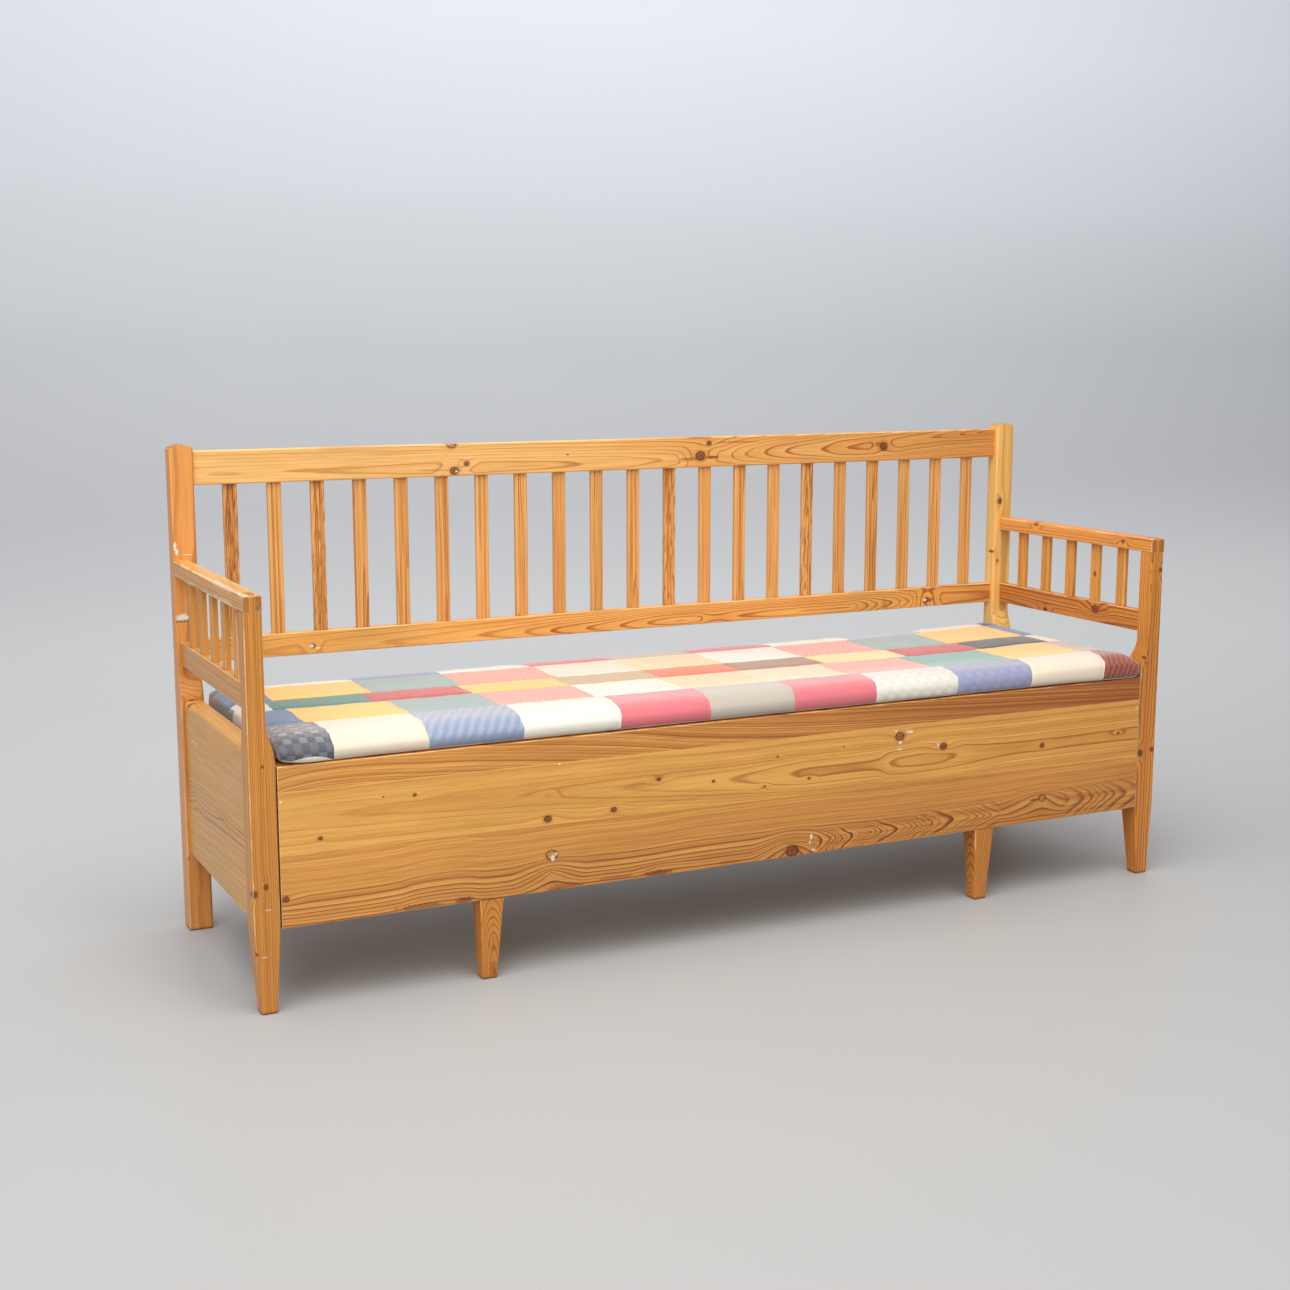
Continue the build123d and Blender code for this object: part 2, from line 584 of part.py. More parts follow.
# ---- seat lid ------------------------------------------------------------------------------------
lid_middle_y = (lid_front_y + lid_rear_y) / 2
lid_z = (lid_bottom, lid_top)
parts["lid_front_board"] = block((-lid_half, lid_half), (lid_front_y, lid_middle_y), lid_z)
parts["lid_rear_board"] = block((-lid_half, lid_half), (lid_middle_y, lid_rear_y), lid_z)
lid_cleat_y = (lid_front_y + lid_cleat_front, lid_rear_y - lid_cleat_rear)
lid_cleat_z = (lid_bottom - lid_cleat_thickness, lid_bottom)
lid_cleat_places = [-lid_cleat_spacing, 0.0, lid_cleat_spacing]
parts["lid_cleats"] = [block((x - lid_cleat_width / 2, x + lid_cleat_width / 2), lid_cleat_y, lid_cleat_z)
                       for x in lid_cleat_places]
lid_cleat_screws = [Pos(x, y, lid_cleat_z[0]) * Rot(180, 0, 0) for x in lid_cleat_places
                    for y in (lid_cleat_y[0] + lid_screw_end, lid_middle_y - lid_screw_seam,
                              lid_middle_y + lid_screw_seam, lid_cleat_y[1] - lid_screw_end)]
screwed(["lid_cleats", "lid_front_board", "lid_rear_board"], "lid_cleat_screws", lid_cleat_screws,
        lid_cleat_thickness + lid_thickness - screw_stop)

rear_lid_ledger = block((-ledger_inner_x, ledger_inner_x),
                        (rear_board_y - rear_lid_ledger_width, rear_board_y), (ledger_bottom, lid_bottom))

# ---- hinges: the leaves lie face to face between the lid and its rear ledger, the axis behind the lid
knuckle_length = hinge_length / 3
knuckle_gap = 0.3
leaf_gap = 0.1               # between the leaves and round each leaf in its pocket
leaf_front_y = hinge_y - hinge_knuckle_radius - hinge_leaf_width
leaf_rear_y = hinge_y - hinge_knuckle_radius - 0.4


def knuckle(x_low, x_high):
    barrel = Cylinder(hinge_knuckle_radius, x_high - x_low, rotation=(0, 90, 0))
    return Pos((x_low + x_high) / 2, hinge_y, lid_bottom) * barrel


def hinge_leaf(x, side_up, spans):
    """A leaf above (1) or below (-1) the meeting plane, with a knuckle for each span along the axis."""
    z = (lid_bottom + side_up * leaf_gap, lid_bottom + side_up * (leaf_gap + hinge_leaf_thickness))
    leaf = block((x - hinge_length / 2, x + hinge_length / 2), (leaf_front_y, leaf_rear_y), z)
    for low, high in spans:
        leaf = leaf + block((x + low, x + high), (leaf_rear_y - 1, hinge_y), z) + knuckle(x + low, x + high)
    bore = Cylinder(hinge_pin_radius + hinge_pin_gap, hinge_length + 2, rotation=(0, 90, 0))
    return leaf - Pos(x, hinge_y, lid_bottom) * bore


outer_spans = [(-hinge_length / 2, -knuckle_length / 2 - knuckle_gap),
               (knuckle_length / 2 + knuckle_gap, hinge_length / 2)]
middle_span = [(-knuckle_length / 2, knuckle_length / 2)]
parts["fixed_hinge_leaves"] = [hinge_leaf(x, -1, outer_spans) for x in hinge_places]
parts["lid_hinge_leaves"] = [hinge_leaf(x, 1, middle_span) for x in hinge_places]
parts["hinge_pins"] = [Pos(x, hinge_y, lid_bottom) * Cylinder(hinge_pin_radius, hinge_length, rotation=(0, 90, 0))
                       for x in hinge_places]

pocket = hinge_leaf_thickness + 2 * leaf_gap
for x in hinge_places:
    pocket_x = (x - hinge_length / 2 - leaf_gap, x + hinge_length / 2 + leaf_gap)
    rear_lid_ledger = rear_lid_ledger - block(pocket_x, (leaf_front_y - leaf_gap, hinge_y),
                                              (lid_bottom - pocket, lid_bottom + 1))
    rear_lid_ledger = rear_lid_ledger - block(pocket_x, (hinge_y - hinge_setback, hinge_y + hinge_setback),
                                              (lid_bottom - hinge_setback, lid_bottom + 1))
    parts["lid_rear_board"] = parts["lid_rear_board"] - block(pocket_x, (leaf_front_y - leaf_gap, lid_rear_y + 1),
                                                              (lid_bottom - 1, lid_bottom + pocket))
parts["rear_lid_ledger"] = rear_lid_ledger

leaf_middle_y = (leaf_front_y + leaf_rear_y) / 2
leaf_screw_x = [x + offset for x in hinge_places for offset in (-hinge_length / 3, 0, hinge_length / 3)]
fixed_leaf_top = lid_bottom - leaf_gap
screwed(["fixed_hinge_leaves", "rear_lid_ledger"], "fixed_leaf_screws",
        [Pos(x, leaf_middle_y, fixed_leaf_top) for x in leaf_screw_x], fixed_leaf_screw_length)
lid_leaf_bottom = lid_bottom + leaf_gap
screwed(["lid_hinge_leaves", "lid_rear_board"], "lid_leaf_screws",
        [Pos(x, leaf_middle_y, lid_leaf_bottom) * Rot(180, 0, 0) for x in leaf_screw_x], lid_leaf_screw_length)

# ---- cushion -------------------------------------------------------------------------------------
cushion_z = (lid_top + sliding_gap, lid_top + sliding_gap + cushion_thickness)
cushion = block((-lid_half, lid_half), (front_y, lid_rear_y - cushion_rear_gap), cushion_z)
cushion = fillet(cushion.edges().group_by(Axis.Z)[-1], cushion_radius)
parts["seat_cushion"] = cushion

# ---- export --------------------------------------------------------------------------------------
os.makedirs("parts", exist_ok=True)
for name, shape in parts.items():
    solids = []
    for piece in (shape if isinstance(shape, list) else [shape]):
        solids += list(piece.solids())
    export_step(Compound(children=solids) if len(solids) > 1 else solids[0], "parts/" + name + ".step")
print(len(parts), "nodes; pull-out travel", round(pull_out_travel, 2), "mm; hinge axis y", round(hinge_y, 2),
      "z", round(lid_bottom, 2))
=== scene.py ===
import math
from types import SimpleNamespace

import bpy
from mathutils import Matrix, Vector, noise


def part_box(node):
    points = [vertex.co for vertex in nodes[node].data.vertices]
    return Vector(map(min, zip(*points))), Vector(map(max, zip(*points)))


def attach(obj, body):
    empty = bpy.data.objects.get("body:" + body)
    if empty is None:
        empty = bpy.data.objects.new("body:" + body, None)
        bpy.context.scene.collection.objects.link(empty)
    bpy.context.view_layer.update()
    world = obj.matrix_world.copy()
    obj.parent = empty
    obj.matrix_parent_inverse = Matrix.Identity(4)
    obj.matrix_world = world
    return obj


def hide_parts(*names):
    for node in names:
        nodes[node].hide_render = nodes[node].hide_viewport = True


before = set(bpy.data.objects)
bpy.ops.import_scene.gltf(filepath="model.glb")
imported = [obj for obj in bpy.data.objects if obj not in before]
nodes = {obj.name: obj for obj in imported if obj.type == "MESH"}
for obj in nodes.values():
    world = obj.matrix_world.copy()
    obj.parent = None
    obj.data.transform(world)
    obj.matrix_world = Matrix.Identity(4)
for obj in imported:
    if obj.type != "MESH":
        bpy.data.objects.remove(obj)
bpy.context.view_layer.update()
mm = 0.001


def step(operation, swapped=False):
    # what an operator does to a shader value: it adds a math node
    def work(self, other):
        return calc(operation, other, self) if swapped else calc(operation, self, other)
    return work


# a value in a shader that is worked with like a number or a vector
class Value:
    def __init__(self, socket):
        self.socket = socket
        self.tree = socket.id_data

    def __abs__(self):
        return calc("ABSOLUTE", self)

    __add__ = step("ADD")
    __radd__ = step("ADD", swapped=True)
    __sub__ = step("SUBTRACT")
    __rsub__ = step("SUBTRACT", swapped=True)
    __mul__ = step("MULTIPLY")
    __rmul__ = step("MULTIPLY", swapped=True)
    __truediv__ = step("DIVIDE")
    __pow__ = step("POWER")
    __gt__ = step("GREATER_THAN")
    __lt__ = step("LESS_THAN")


def isVector(value):
    if isinstance(value, Value):
        return value.socket.type in ("VECTOR", "RGBA")
    return isinstance(value, tuple)


def treeOf(*values):
    return next(value.tree for value in values if isinstance(value, Value))


def feed(socket, value):
    if isinstance(value, Value):
        value.tree.links.new(value.socket, socket)
    else:
        socket.default_value = value


def feedAll(sockets, values):
    for key, value in values.items():
        feed(sockets[key], value)


def addNode(tree, kind, inputs=None, output=0, **settings):
    made = tree.nodes.new("ShaderNode" + kind)
    for key, value in settings.items():
        setattr(made, key, value)
    feedAll(made.inputs, inputs or {})
    return Value(made.outputs[output])


def calc(operation, *values):
    # vectors get a vector math node, and a vector times a number is scaled
    tree = treeOf(*values)
    vectors = [isVector(value) for value in values]
    if not any(vectors):
        return addNode(tree, "Math", dict(enumerate(values)), operation=operation)
    if operation == "MULTIPLY" and not all(vectors):
        return addNode(tree, "VectorMath", {0: values[0], "Scale": values[1]}, operation="SCALE")
    output = "Value" if operation == "LENGTH" else 0
    return addNode(tree, "VectorMath", dict(enumerate(values)), output, operation=operation)


def larger(first, second):
    return calc("MAXIMUM", first, second)


def smaller(first, second):
    return calc("MINIMUM", first, second)


def split(vector):
    made = treeOf(vector).nodes.new("ShaderNodeSeparateXYZ")
    feed(made.inputs[0], vector)
    return [Value(socket) for socket in made.outputs]


def join(x, y, z):
    return addNode(treeOf(x, y, z), "CombineXYZ", {0: x, 1: y, 2: z})


def distance(x, y):
    return calc("LENGTH", join(x, y, 0.0))


def ramp(value, low, high, toLow=0.0, toHigh=1.0, kind="LINEAR"):
    inputs = {"Value": value, "From Min": low, "From Max": high, "To Min": toLow, "To Max": toHigh}
    return addNode(treeOf(value), "MapRange", inputs, clamp=True, interpolation_type=kind)


def softRamp(value, low, high, toLow=0.0, toHigh=1.0):
    return ramp(value, low, high, toLow, toHigh, "SMOOTHSTEP")


def softFall(value, low, high):
    return softRamp(value, low, high, 1.0, 0.0)


def between(share, first, second):
    # the first value where the share is 0, the second where it is 1
    return ramp(share, 0.0, 1.0, first, second)


def mixColour(share, first, second, blend="MIX"):
    inputs = {0: share, 6: first, 7: second}
    return addNode(treeOf(share, first, second), "Mix", inputs, 2, data_type="RGBA", blend_type=blend)


def mixValue(share, first, second):
    return addNode(treeOf(share, first, second), "Mix", {0: share, 2: first, 3: second}, data_type="FLOAT")


def tint(colour, other):
    return mixColour(1.0, colour, other, "MULTIPLY")


def shade(colour, tone):
    return tint(colour, join(tone, tone, tone))


def noiseAt(place, scale=1.0, detail=2.0, rough=0.5, output="Fac"):
    inputs = {"Vector": place, "Scale": scale, "Detail": detail, "Roughness": rough}
    return addNode(treeOf(place), "TexNoise", inputs, output)


def driftAt(place, scale, reach):
    # a slow shift in x, y and z, by up to half the reach each way
    return split((noiseAt(place, scale, output="Color") - (0.5, 0.5, 0.5)) * reach)


def chanceOf(number, output="Value"):
    return addNode(treeOf(number), "TexWhiteNoise", {"W": number}, output, noise_dimensions="1D")


def bumpFrom(height, strength, depth):
    return addNode(treeOf(height), "Bump", {"Height": height, "Strength": strength, "Distance": depth})


def fieldName(label):
    # the socket Ring Width is ringWidth
    return label[0].lower() + label[1:].replace(" ", "")


def fieldsOf(sockets):
    return SimpleNamespace(**{fieldName(socket.name): Value(socket) for socket in sockets if socket.name})


def startGroup(name, vectors, values, colours=""):
    tree = bpy.data.node_groups.new(name, "ShaderNodeTree")
    for kind, labels in (("Vector", vectors), ("Float", values), ("Color", colours)):
        for label in filter(None, labels.split(", ")):
            tree.interface.new_socket(label, in_out="INPUT", socket_type="NodeSocket" + kind)
    return fieldsOf(tree.nodes.new("NodeGroupInput").outputs)


def endGroup(outputs):
    tree = treeOf(*outputs.values())
    for label, value in outputs.items():
        kind = "Color" if isVector(value) else "Float"
        tree.interface.new_socket(label, in_out="OUTPUT", socket_type="NodeSocket" + kind)
    feedAll(tree.nodes.new("NodeGroupOutput").inputs, outputs)
    return tree


def useGroup(group, **inputs):
    made = treeOf(*inputs.values()).nodes.new("ShaderNodeGroup")
    made.node_tree = group
    sockets = {fieldName(socket.name): socket for socket in made.inputs}
    feedAll(sockets, inputs)
    return fieldsOf(made.outputs)


def newMaterial(name):
    # a material, the sockets of its shader and the places and normals on its piece
    material = bpy.data.materials.new(name)
    material.use_nodes = True
    nodesOf = material.node_tree.nodes
    return material, nodesOf["Principled BSDF"].inputs, fieldsOf(nodesOf.new("ShaderNodeTexCoord").outputs)


def giveMaterial(mesh, material):
    for index in range(len(mesh.materials)):
        mesh.materials[index] = material
    if not mesh.materials:
        mesh.materials.append(material)


def screenColour(red, green, blue):
    # a colour as a screen shows it, 0 to 255, as the linear one that shaders use
    def linear(value):
        value = value / 255
        return value / 12.92 if value <= 0.04045 else ((value + 0.055) / 1.055) ** 2.4
    return (linear(red), linear(green), linear(blue), 1.0)


def addToScene(name, data):
    piece = bpy.data.objects.new(name, data)
    bpy.context.scene.collection.objects.link(piece)
    return piece


# camera, floor and light. Lengths in metres
view = {"place": (-1.6449, -3.1437, 1.1064), "turn": 26.19, "down": 9.57, "lens": 51.58, "sensor": 36}
cameraData = bpy.data.cameras.new("camera")
cameraData.lens = view["lens"]
cameraData.sensor_width = view["sensor"]
camera = addToScene("camera", cameraData)
camera.location = view["place"]
camera.rotation_euler = (math.radians(90 - view["down"]), 0, math.radians(-view["turn"]))
bpy.context.scene.camera = camera

studio = {
    "floor": screenColour(179, 178, 176),
    "farFloor": screenColour(206, 206, 206),
    "floorBlend": (-0.3, 2.6),  # from here to there the floor's colour becomes the far one
    # the backdrop's tones: from this height, to this one, and the colour there
    "wallTones": [(0.0, 0.22, (194, 194, 195)), (0.22, 0.43, (186, 187, 190)), (0.55, 1.05, (190, 192, 195)),
                  (1.05, 1.7, (212, 215, 220)), (1.7, 2.4, (222, 225, 230))],
    "wallPlace": 4.2,  # behind the bench
    "wallTop": 6.0,
    "floorFront": -9.0,
    "halfWidth": 11.0,
    "sweepRadius": 1.6,
    "sweepSteps": 12,
    "sky": (0.95, 0.97, 1.0, 1.0),
    "skyStrength": 0.5,
}


def makeSweep():
    # the floor runs on into a backdrop with one large curve
    profile = [(studio["floorFront"], 0.0), (0.0, 0.0)]
    radius = studio["sweepRadius"]
    middle = studio["wallPlace"] - radius
    for step in range(studio["sweepSteps"] + 1):
        angle = math.radians(90 * step / studio["sweepSteps"])
        profile.append((middle + radius * math.sin(angle), radius - radius * math.cos(angle)))
    profile.append((studio["wallPlace"], studio["wallTop"]))
    mesh = bpy.data.meshes.new("floor")
    corners = [(x, y, z) for y, z in profile for x in (-studio["halfWidth"], studio["halfWidth"])]
    faces = [(2 * i, 2 * i + 1, 2 * i + 3, 2 * i + 2) for i in range(len(profile) - 1)]
    mesh.from_pydata(corners, [], faces)
    mesh.polygons.foreach_set("use_smooth", [True] * len(faces))
    material, shader, coords = newMaterial("studioFloor")
    x, y, z = split(coords.object)
    tone = mixColour(ramp(y, *studio["floorBlend"]), studio["floor"], studio["farFloor"])
    for low, high, colour in studio["wallTones"]:
        tone = mixColour(ramp(z, low, high), tone, screenColour(*colour))
    rough = ramp(noiseAt(coords.object, 1.4, 4.0), 0.3, 0.7, 0.42, 0.55)
    feedAll(shader, {"Base Color": tone, "Roughness": rough, "Specular IOR Level": 0.35})
    giveMaterial(mesh, material)
    floor = addToScene("floor", mesh)


def makeLamp(name, place, aim, size, power):
    data = bpy.data.lights.new(name, "AREA")
    data.shape = "RECTANGLE"
    data.size, data.size_y = size
    data.energy = power
    lamp = addToScene(name, data)
    lamp.location = place
    lamp.rotation_euler = (Vector(aim) - Vector(place)).to_track_quat("-Z", "Y").to_euler()


makeSweep()
makeLamp("ceilingLight", (-0.9, -1.2, 3.4), (0, 0.2, 0.2), (4.2, 2.8), 138)
makeLamp("frontLight", (-3.2, -3.6, 2.4), (-0.3, 0, 0.4), (2.2, 2.0), 46)
makeLamp("backdropLight", (3.2, 0.8, 3.9), (3.9, 4.2, 1.4), (6.6, 1.4), 92)

world = bpy.data.worlds.new("studio")
bpy.context.scene.world = world
world.use_nodes = True
sky = world.node_tree.nodes["Background"].inputs
feedAll(sky, {"Color": studio["sky"], "Strength": studio["skyStrength"]})
bpy.context.scene.view_settings.view_transform = "Standard"
print("camera, floor and light are set")


# growth rings round a pith line that lies along the grain, somewhere in or behind the board. Place has the
# distance along the grain in x, across the face in y and into the board in z
def makeGrowthRings():
    given = startGroup("growthRings", "Place",
                       "Pith Across, Pith Deep, Bend, Ring Width, Wander, Late Start, Seed")
    seedPlace = (1.7, 2.3, 3.1) * given.seed
    drift = driftAt(given.place * (1.3, 5.0, 5.0) + seedPlace, 1.0, given.wander * 2.4)
    own = split(given.place)
    across = own[1] - given.pithAcross + drift[1]
    deep = own[2] - given.pithDeep + drift[2]
    wobble = (noiseAt(given.place * (9.0, 70.0, 70.0) + seedPlace) - 0.5) * (1.4 * mm)
    radius = distance(across, deep) + given.bend + wobble
    ratio = radius / given.ringWidth
    rings = ratio + calc("SINE", ratio * 0.83 + given.seed) * 0.45  # narrow and wide ones by turns
    tone = chanceOf(calc("FLOOR", rings) + given.seed)
    part = calc("FRACT", rings)
    line = softRamp(part, given.lateStart, 0.88) * softFall(part, 0.93, 1.0)  # the late wood of each year
    late = (part * 0.2 + line * 0.8) * between(tone, 0.45, 1.0)
    years = radius * 105.0 + given.seed * 1.7
    band = addNode(years.tree, "TexNoise", {"W": years, "Scale": 1.0, "Detail": 2.0}, "Fac",
                   noise_dimensions="1D")
    return endGroup({"Late": late, "Ring Tone": tone, "Band": ramp(band, 0.3, 0.7)})


# one knot, or with Size near nothing only the swirl that it makes in the rings round it
def makeKnotMark():
    given = startGroup("knotMark", "Place, Centre", "Size, Swell, Before, After, Across")
    away = split((given.place - given.centre) * (1.0, 1.0, 0.3))
    reach = mixValue(away[0] > 0.0, given.before, given.after)
    across = distance(away[1], away[2])
    far = distance(away[0] / reach, across / given.across)
    bend = between(far, 1.0, 0.0) ** 1.35 * given.swell
    rough = noiseAt(given.place * 260.0)
    near = distance(away[0] * 0.82, across) / larger(given.size, 0.1 * mm)  # 1 at the knot's edge
    near = near + (rough - 0.5) * 0.5
    # the knot's own rings, a darker halo round it and a broken black rim
    inside = softFall(near, 0.7, 0.95) * ramp(calc("SINE", near * 9.0), -1.0, 1.0, 0.8, 1.0)
    halo = softRamp(near, 0.8, 1.9, 0.3, 0.0)
    rim = softFall(abs(near - 0.84), 0.0, 0.26) * ramp(rough, 0.3, 0.6, 0.5, 1.0)
    return endGroup({"Bend": bend, "Core": larger(inside, halo), "Rim": rim})


# flames: chevrons that point along the grain, where one ring after another comes out at the face
def makeFlameMark():
    given = startGroup("flameMark", "Place", "Start, End, Tip, Reach, Pitch, Lean")
    own = split(given.place)
    away = own[1] - given.tip
    bent = calc("SQRT", away * away + 30 * mm * mm)  # so that the tips are round
    wavy = noiseAt(given.place * (16.0, 44.0, 44.0))
    ratio = (own[0] + bent * given.lean + (wavy - 0.5) * (30 * mm)) / given.pitch
    ratio = ratio + calc("SINE", ratio * 1.1) * 0.4
    part = calc("FRACT", ratio)
    tone = chanceOf(calc("FLOOR", ratio))
    line = softRamp(part, 0.35, 0.85) * softFall(part, 0.92, 1.0)
    late = line * between(tone, 0.3, 0.85)
    # they fade in and out at their ends and sides
    starts = softRamp(own[0] - given.start, 0.0, 30 * mm)
    ends = softRamp(given.end - own[0], 0.0, 30 * mm)
    high = softFall(abs(away) / given.reach, 0.55, 1.0)
    return endGroup({"Late": late, "Mask": starts * ends * high})


# a chip or a smear with ragged edges, round one point
def makeChipMark():
    given = startGroup("chipMark", "Place, Centre, Size", "")
    away = (given.place - given.centre) / given.size
    ragged = noiseAt(given.place * 330.0, detail=3.0, rough=0.6)
    far = calc("LENGTH", away) + (ragged - 0.5) * 1.5
    return endGroup({"Mask": softFall(far, 0.7, 0.95)})


# how near a point on a board is to one of the board's edges, broken up as wear is
def makeEdgeWear():
    given = startGroup("edgeWear", "Place, Low, High", "Width, Seed")
    low = split(given.place - given.low)
    high = split(given.high - given.place)
    near = [abs(smaller(low[i], high[i])) for i in range(3)]
    inner = larger(smaller(near[0], near[1]), smaller(larger(near[0], near[1]), near[2]))
    rough = noiseAt(given.place * 16.0 + (3.1, 1.3, 2.7) * given.seed, detail=5.0, rough=0.62)
    width = given.width * ramp(rough, 0.35, 0.75, 0.15, 2.0)
    return endGroup({"Mask": softFall(inner / width, 0.3, 1.0)})


# rings, knots and wear put together as the colour, roughness and height of oiled and varnished pine
def makePineFinish():
    given = startGroup("pineFinish", "Place",
                       "Late, Ring Tone, Band, Core, Rim, Heart, Wear, Chip, Seed, Contrast",
                       "Early Wood, Late Wood, Heart Wood, Knot Wood, Worn Wood, Chip Colour")
    seedPlace = (2.9, 1.1, 1.9) * given.seed

    def streaks(along, across, detail):
        return noiseAt(given.place * (along, across, across) + seedPlace, 1.0, detail, 0.55)
    coarse = streaks(7.0, 330.0, 3.0)
    fine = streaks(34.0, 1500.0, 2.0)
    patches = streaks(2.6, 11.0, 3.0)
    # the colour, from the early wood on: each line lays one thing over what is there
    heart = given.heart + (given.band - 0.5) * 0.55
    wood = mixColour(ramp(heart, 0.0, 1.0), given.earlyWood, given.heartWood)
    wood = mixColour(given.late * given.contrast, wood, given.lateWood)
    wood = mixColour(ramp(coarse, 0.42, 0.72, 0.0, 0.3), wood, given.lateWood)
    wood = mixColour(between(given.ringTone, 0.0, 0.22), wood, given.heartWood)
    wood = shade(wood, ramp(patches * 0.65 + fine * 0.35, 0.3, 0.7, 0.86, 1.12))
    wood = mixColour(given.core * 0.97, wood, given.knotWood)
    wood = mixColour(given.rim * 0.95, wood, tint(given.knotWood, (0.25, 0.22, 0.2, 1)))
    wood = mixColour(given.wear * 0.6, wood, given.wornWood)
    wood = mixColour(given.chip, wood, given.chipColour)
    rough = ramp(patches, 0.3, 0.7, 0.3, 0.46) + given.wear * 0.2 + (fine - 0.5) * 0.16 + given.chip * 0.3
    height = given.late * 0.35 + coarse * 0.25 + fine * 0.2  # late wood stands proud of the early wood
    height = height + given.rim * -0.8 + given.wear * -0.5 + given.chip * 0.6
    return endGroup({"Colour": wood, "Roughness": rough, "Height": height})


growthRings = makeGrowthRings()
knotMark = makeKnotMark()
flameMark = makeFlameMark()
chipMark = makeChipMark()
edgeWear = makeEdgeWear()
pineFinish = makePineFinish()
print("wood shader groups are made")

# finishes of the wood, which a board's own entry may change
finishes = {
    "varnished": {"earlyWood": (232, 172, 84), "lateWood": (150, 76, 24), "heartWood": (208, 135, 56),
                  "knotWood": (118, 49, 18), "wornWood": (240, 204, 146), "contrast": 1.0, "coat": 0.08},
    "bare": {"earlyWood": (222, 178, 108), "lateWood": (186, 127, 64), "heartWood": (208, 157, 88),
             "knotWood": (128, 78, 42), "wornWood": (226, 196, 148), "contrast": 0.7, "coat": 0.0},
}
# what a board's own entry may leave out
plainBoard = {
    "finish": "varnished", "seed": 1.0, "pith": (0, 60), "ringWidth": 2.4, "wander": 7.0, "lateStart": 0.55,
    "wear": 2.2, "heart": 0.25, "face": 0.0,
    "knots": [], "stains": [], "chips": [], "flames": [], "flamed": [],
}
# what all the wood has in common. Lengths in millimetres
pine = {
    "chipColour": (228, 219, 202), "endGrain": (190, 160, 130), "endGrainShare": 0.75,
    "markDepth": {"chips": 6, "stains": 9},
    "swirlOnly": 0.5,  # a knot smaller than this is only a swirl in the rings
    "dirtLow": 1, "dirtHigh": 6, "dirtTone": 0.3,  # painted contact shadow: the wood darkens where a foot meets the floor
    "bump": 0.6, "bumpDepth": 0.6, "shine": 0.36, "coatRough": 0.22,
}
# which of x, y and z run along the grain, across the face and into the board
grainWays = {"x": (0, 2, 1), "y": (1, 2, 0), "z": (2, 0, 1), "flatX": (0, 1, 2), "flatY": (1, 0, 2),
             "sideZ": (2, 1, 0)}


def alongCurve(along, points, unit=mm):
    # a value that changes along the board through the points (place, value)
    places, values = zip(*points)
    low, high = min(values), max(values)
    curve = treeOf(along).nodes.new("ShaderNodeFloatCurve")
    line = curve.mapping.curves[0]
    for index, (place, value) in enumerate(points):
        spot = ((place - places[0]) / (places[-1] - places[0]), (value - low) / (high - low))
        if index in (0, len(points) - 1):
            line.points[0 if index == 0 else -1].location = spot
        else:
            line.points.new(*spot)
    curve.mapping.update()
    feed(curve.inputs["Value"], ramp(along, places[0] * mm, places[-1] * mm))
    return ramp(Value(curve.outputs[0]), 0.0, 1.0, low * unit, high * unit)


def marksOn(board, place):
    # how far knots bend the rings, how dark knots, stains and the rims of knots are, and where the finish is
    # chipped off
    def whole(spot, depth):
        # a place or size that doesn't say how deep it is gets the usual depth
        return [value * mm for value in (spot if len(spot) == 3 else (*spot, depth))]

    def smears(kind, value):
        for centre, size, *strength in board[kind]:
            mark = useGroup(chipMark, place=place, centre=whole(centre, board["face"]),
                            size=whole(size, pine["markDepth"][kind]))
            value = larger(value, mark.mask * strength[0] if strength else mark.mask)
        return value
    bend, core, rim = 0.0, 0.0, 0.0
    for centre, size, swell, before, after, across, *strength in board["knots"]:
        mark = useGroup(knotMark, place=place, centre=whole(centre, board["face"]), size=size * mm,
                        swell=swell * mm, before=before * mm, after=after * mm, across=across * mm)
        bend = bend + mark.bend
        if size > pine["swirlOnly"]:
            core = larger(core, mark.core * (strength[0] if strength else 1.0))
            rim = larger(rim, mark.rim)
    return bend, smears("stains", core), rim, smears("chips", 0.0)


def varyPieces(wood, board, along, side, into):
    # several like pieces in one mesh: each gets its own number, and its own wood
    first, pitch = board["first"] * mm, board["pitch"] * mm
    number = calc("ROUND", (side - first) / pitch)
    wood.place = join(along, side - (number * pitch + first), into)
    wood.seed = number * 3.7 + wood.seed
    chance = split(chanceOf(wood.seed, "Color"))
    wood.pithAcross = between(chance[0], -wood.pithAcross, wood.pithAcross)
    wood.pithDeep = between(chance[1], wood.pithDeep - 20 * mm, wood.pithDeep + 60 * mm)
    wood.ringWidth = between(chance[2], wood.ringWidth * 0.6, wood.ringWidth * 1.3)
    wood.contrast = ramp(chance[1], 0.0, 0.5, 1.15, 0.75) * wood.contrast
    for bold in board["flamed"]:
        # a piece with reddish mottling
        mine = calc("COMPARE", number, bold, 0.1)
        wood.contrast = wood.contrast + mine * 0.3
        wood.flamed = larger(wood.flamed, mine)


def followCurves(wood, board, along, side):
    # where the pith lies, how plain the rings are and how much heartwood there is can change along the board
    if "pithCurve" in board:
        wood.pithDeep = alongCurve(along, board["pithCurve"]) + board["face"] * mm
    if "pithLine" in board:
        wood.pithAcross = alongCurve(along, board["pithLine"])
    if "strength" in board:
        wood.contrast = alongCurve(along, board["strength"], 1.0) * wood.contrast
    if "focus" in board:
        # the rings are plain in a band along the board and faint outside it
        middle, reach, outside = board["focus"]
        away = abs(side - middle * mm)
        wood.contrast = softRamp(away, 0.6 * reach * mm, 1.4 * reach * mm, 1.0, outside) * wood.contrast
    if "tone" in board:
        wood.heart = alongCurve(along, board["tone"], 1.0)


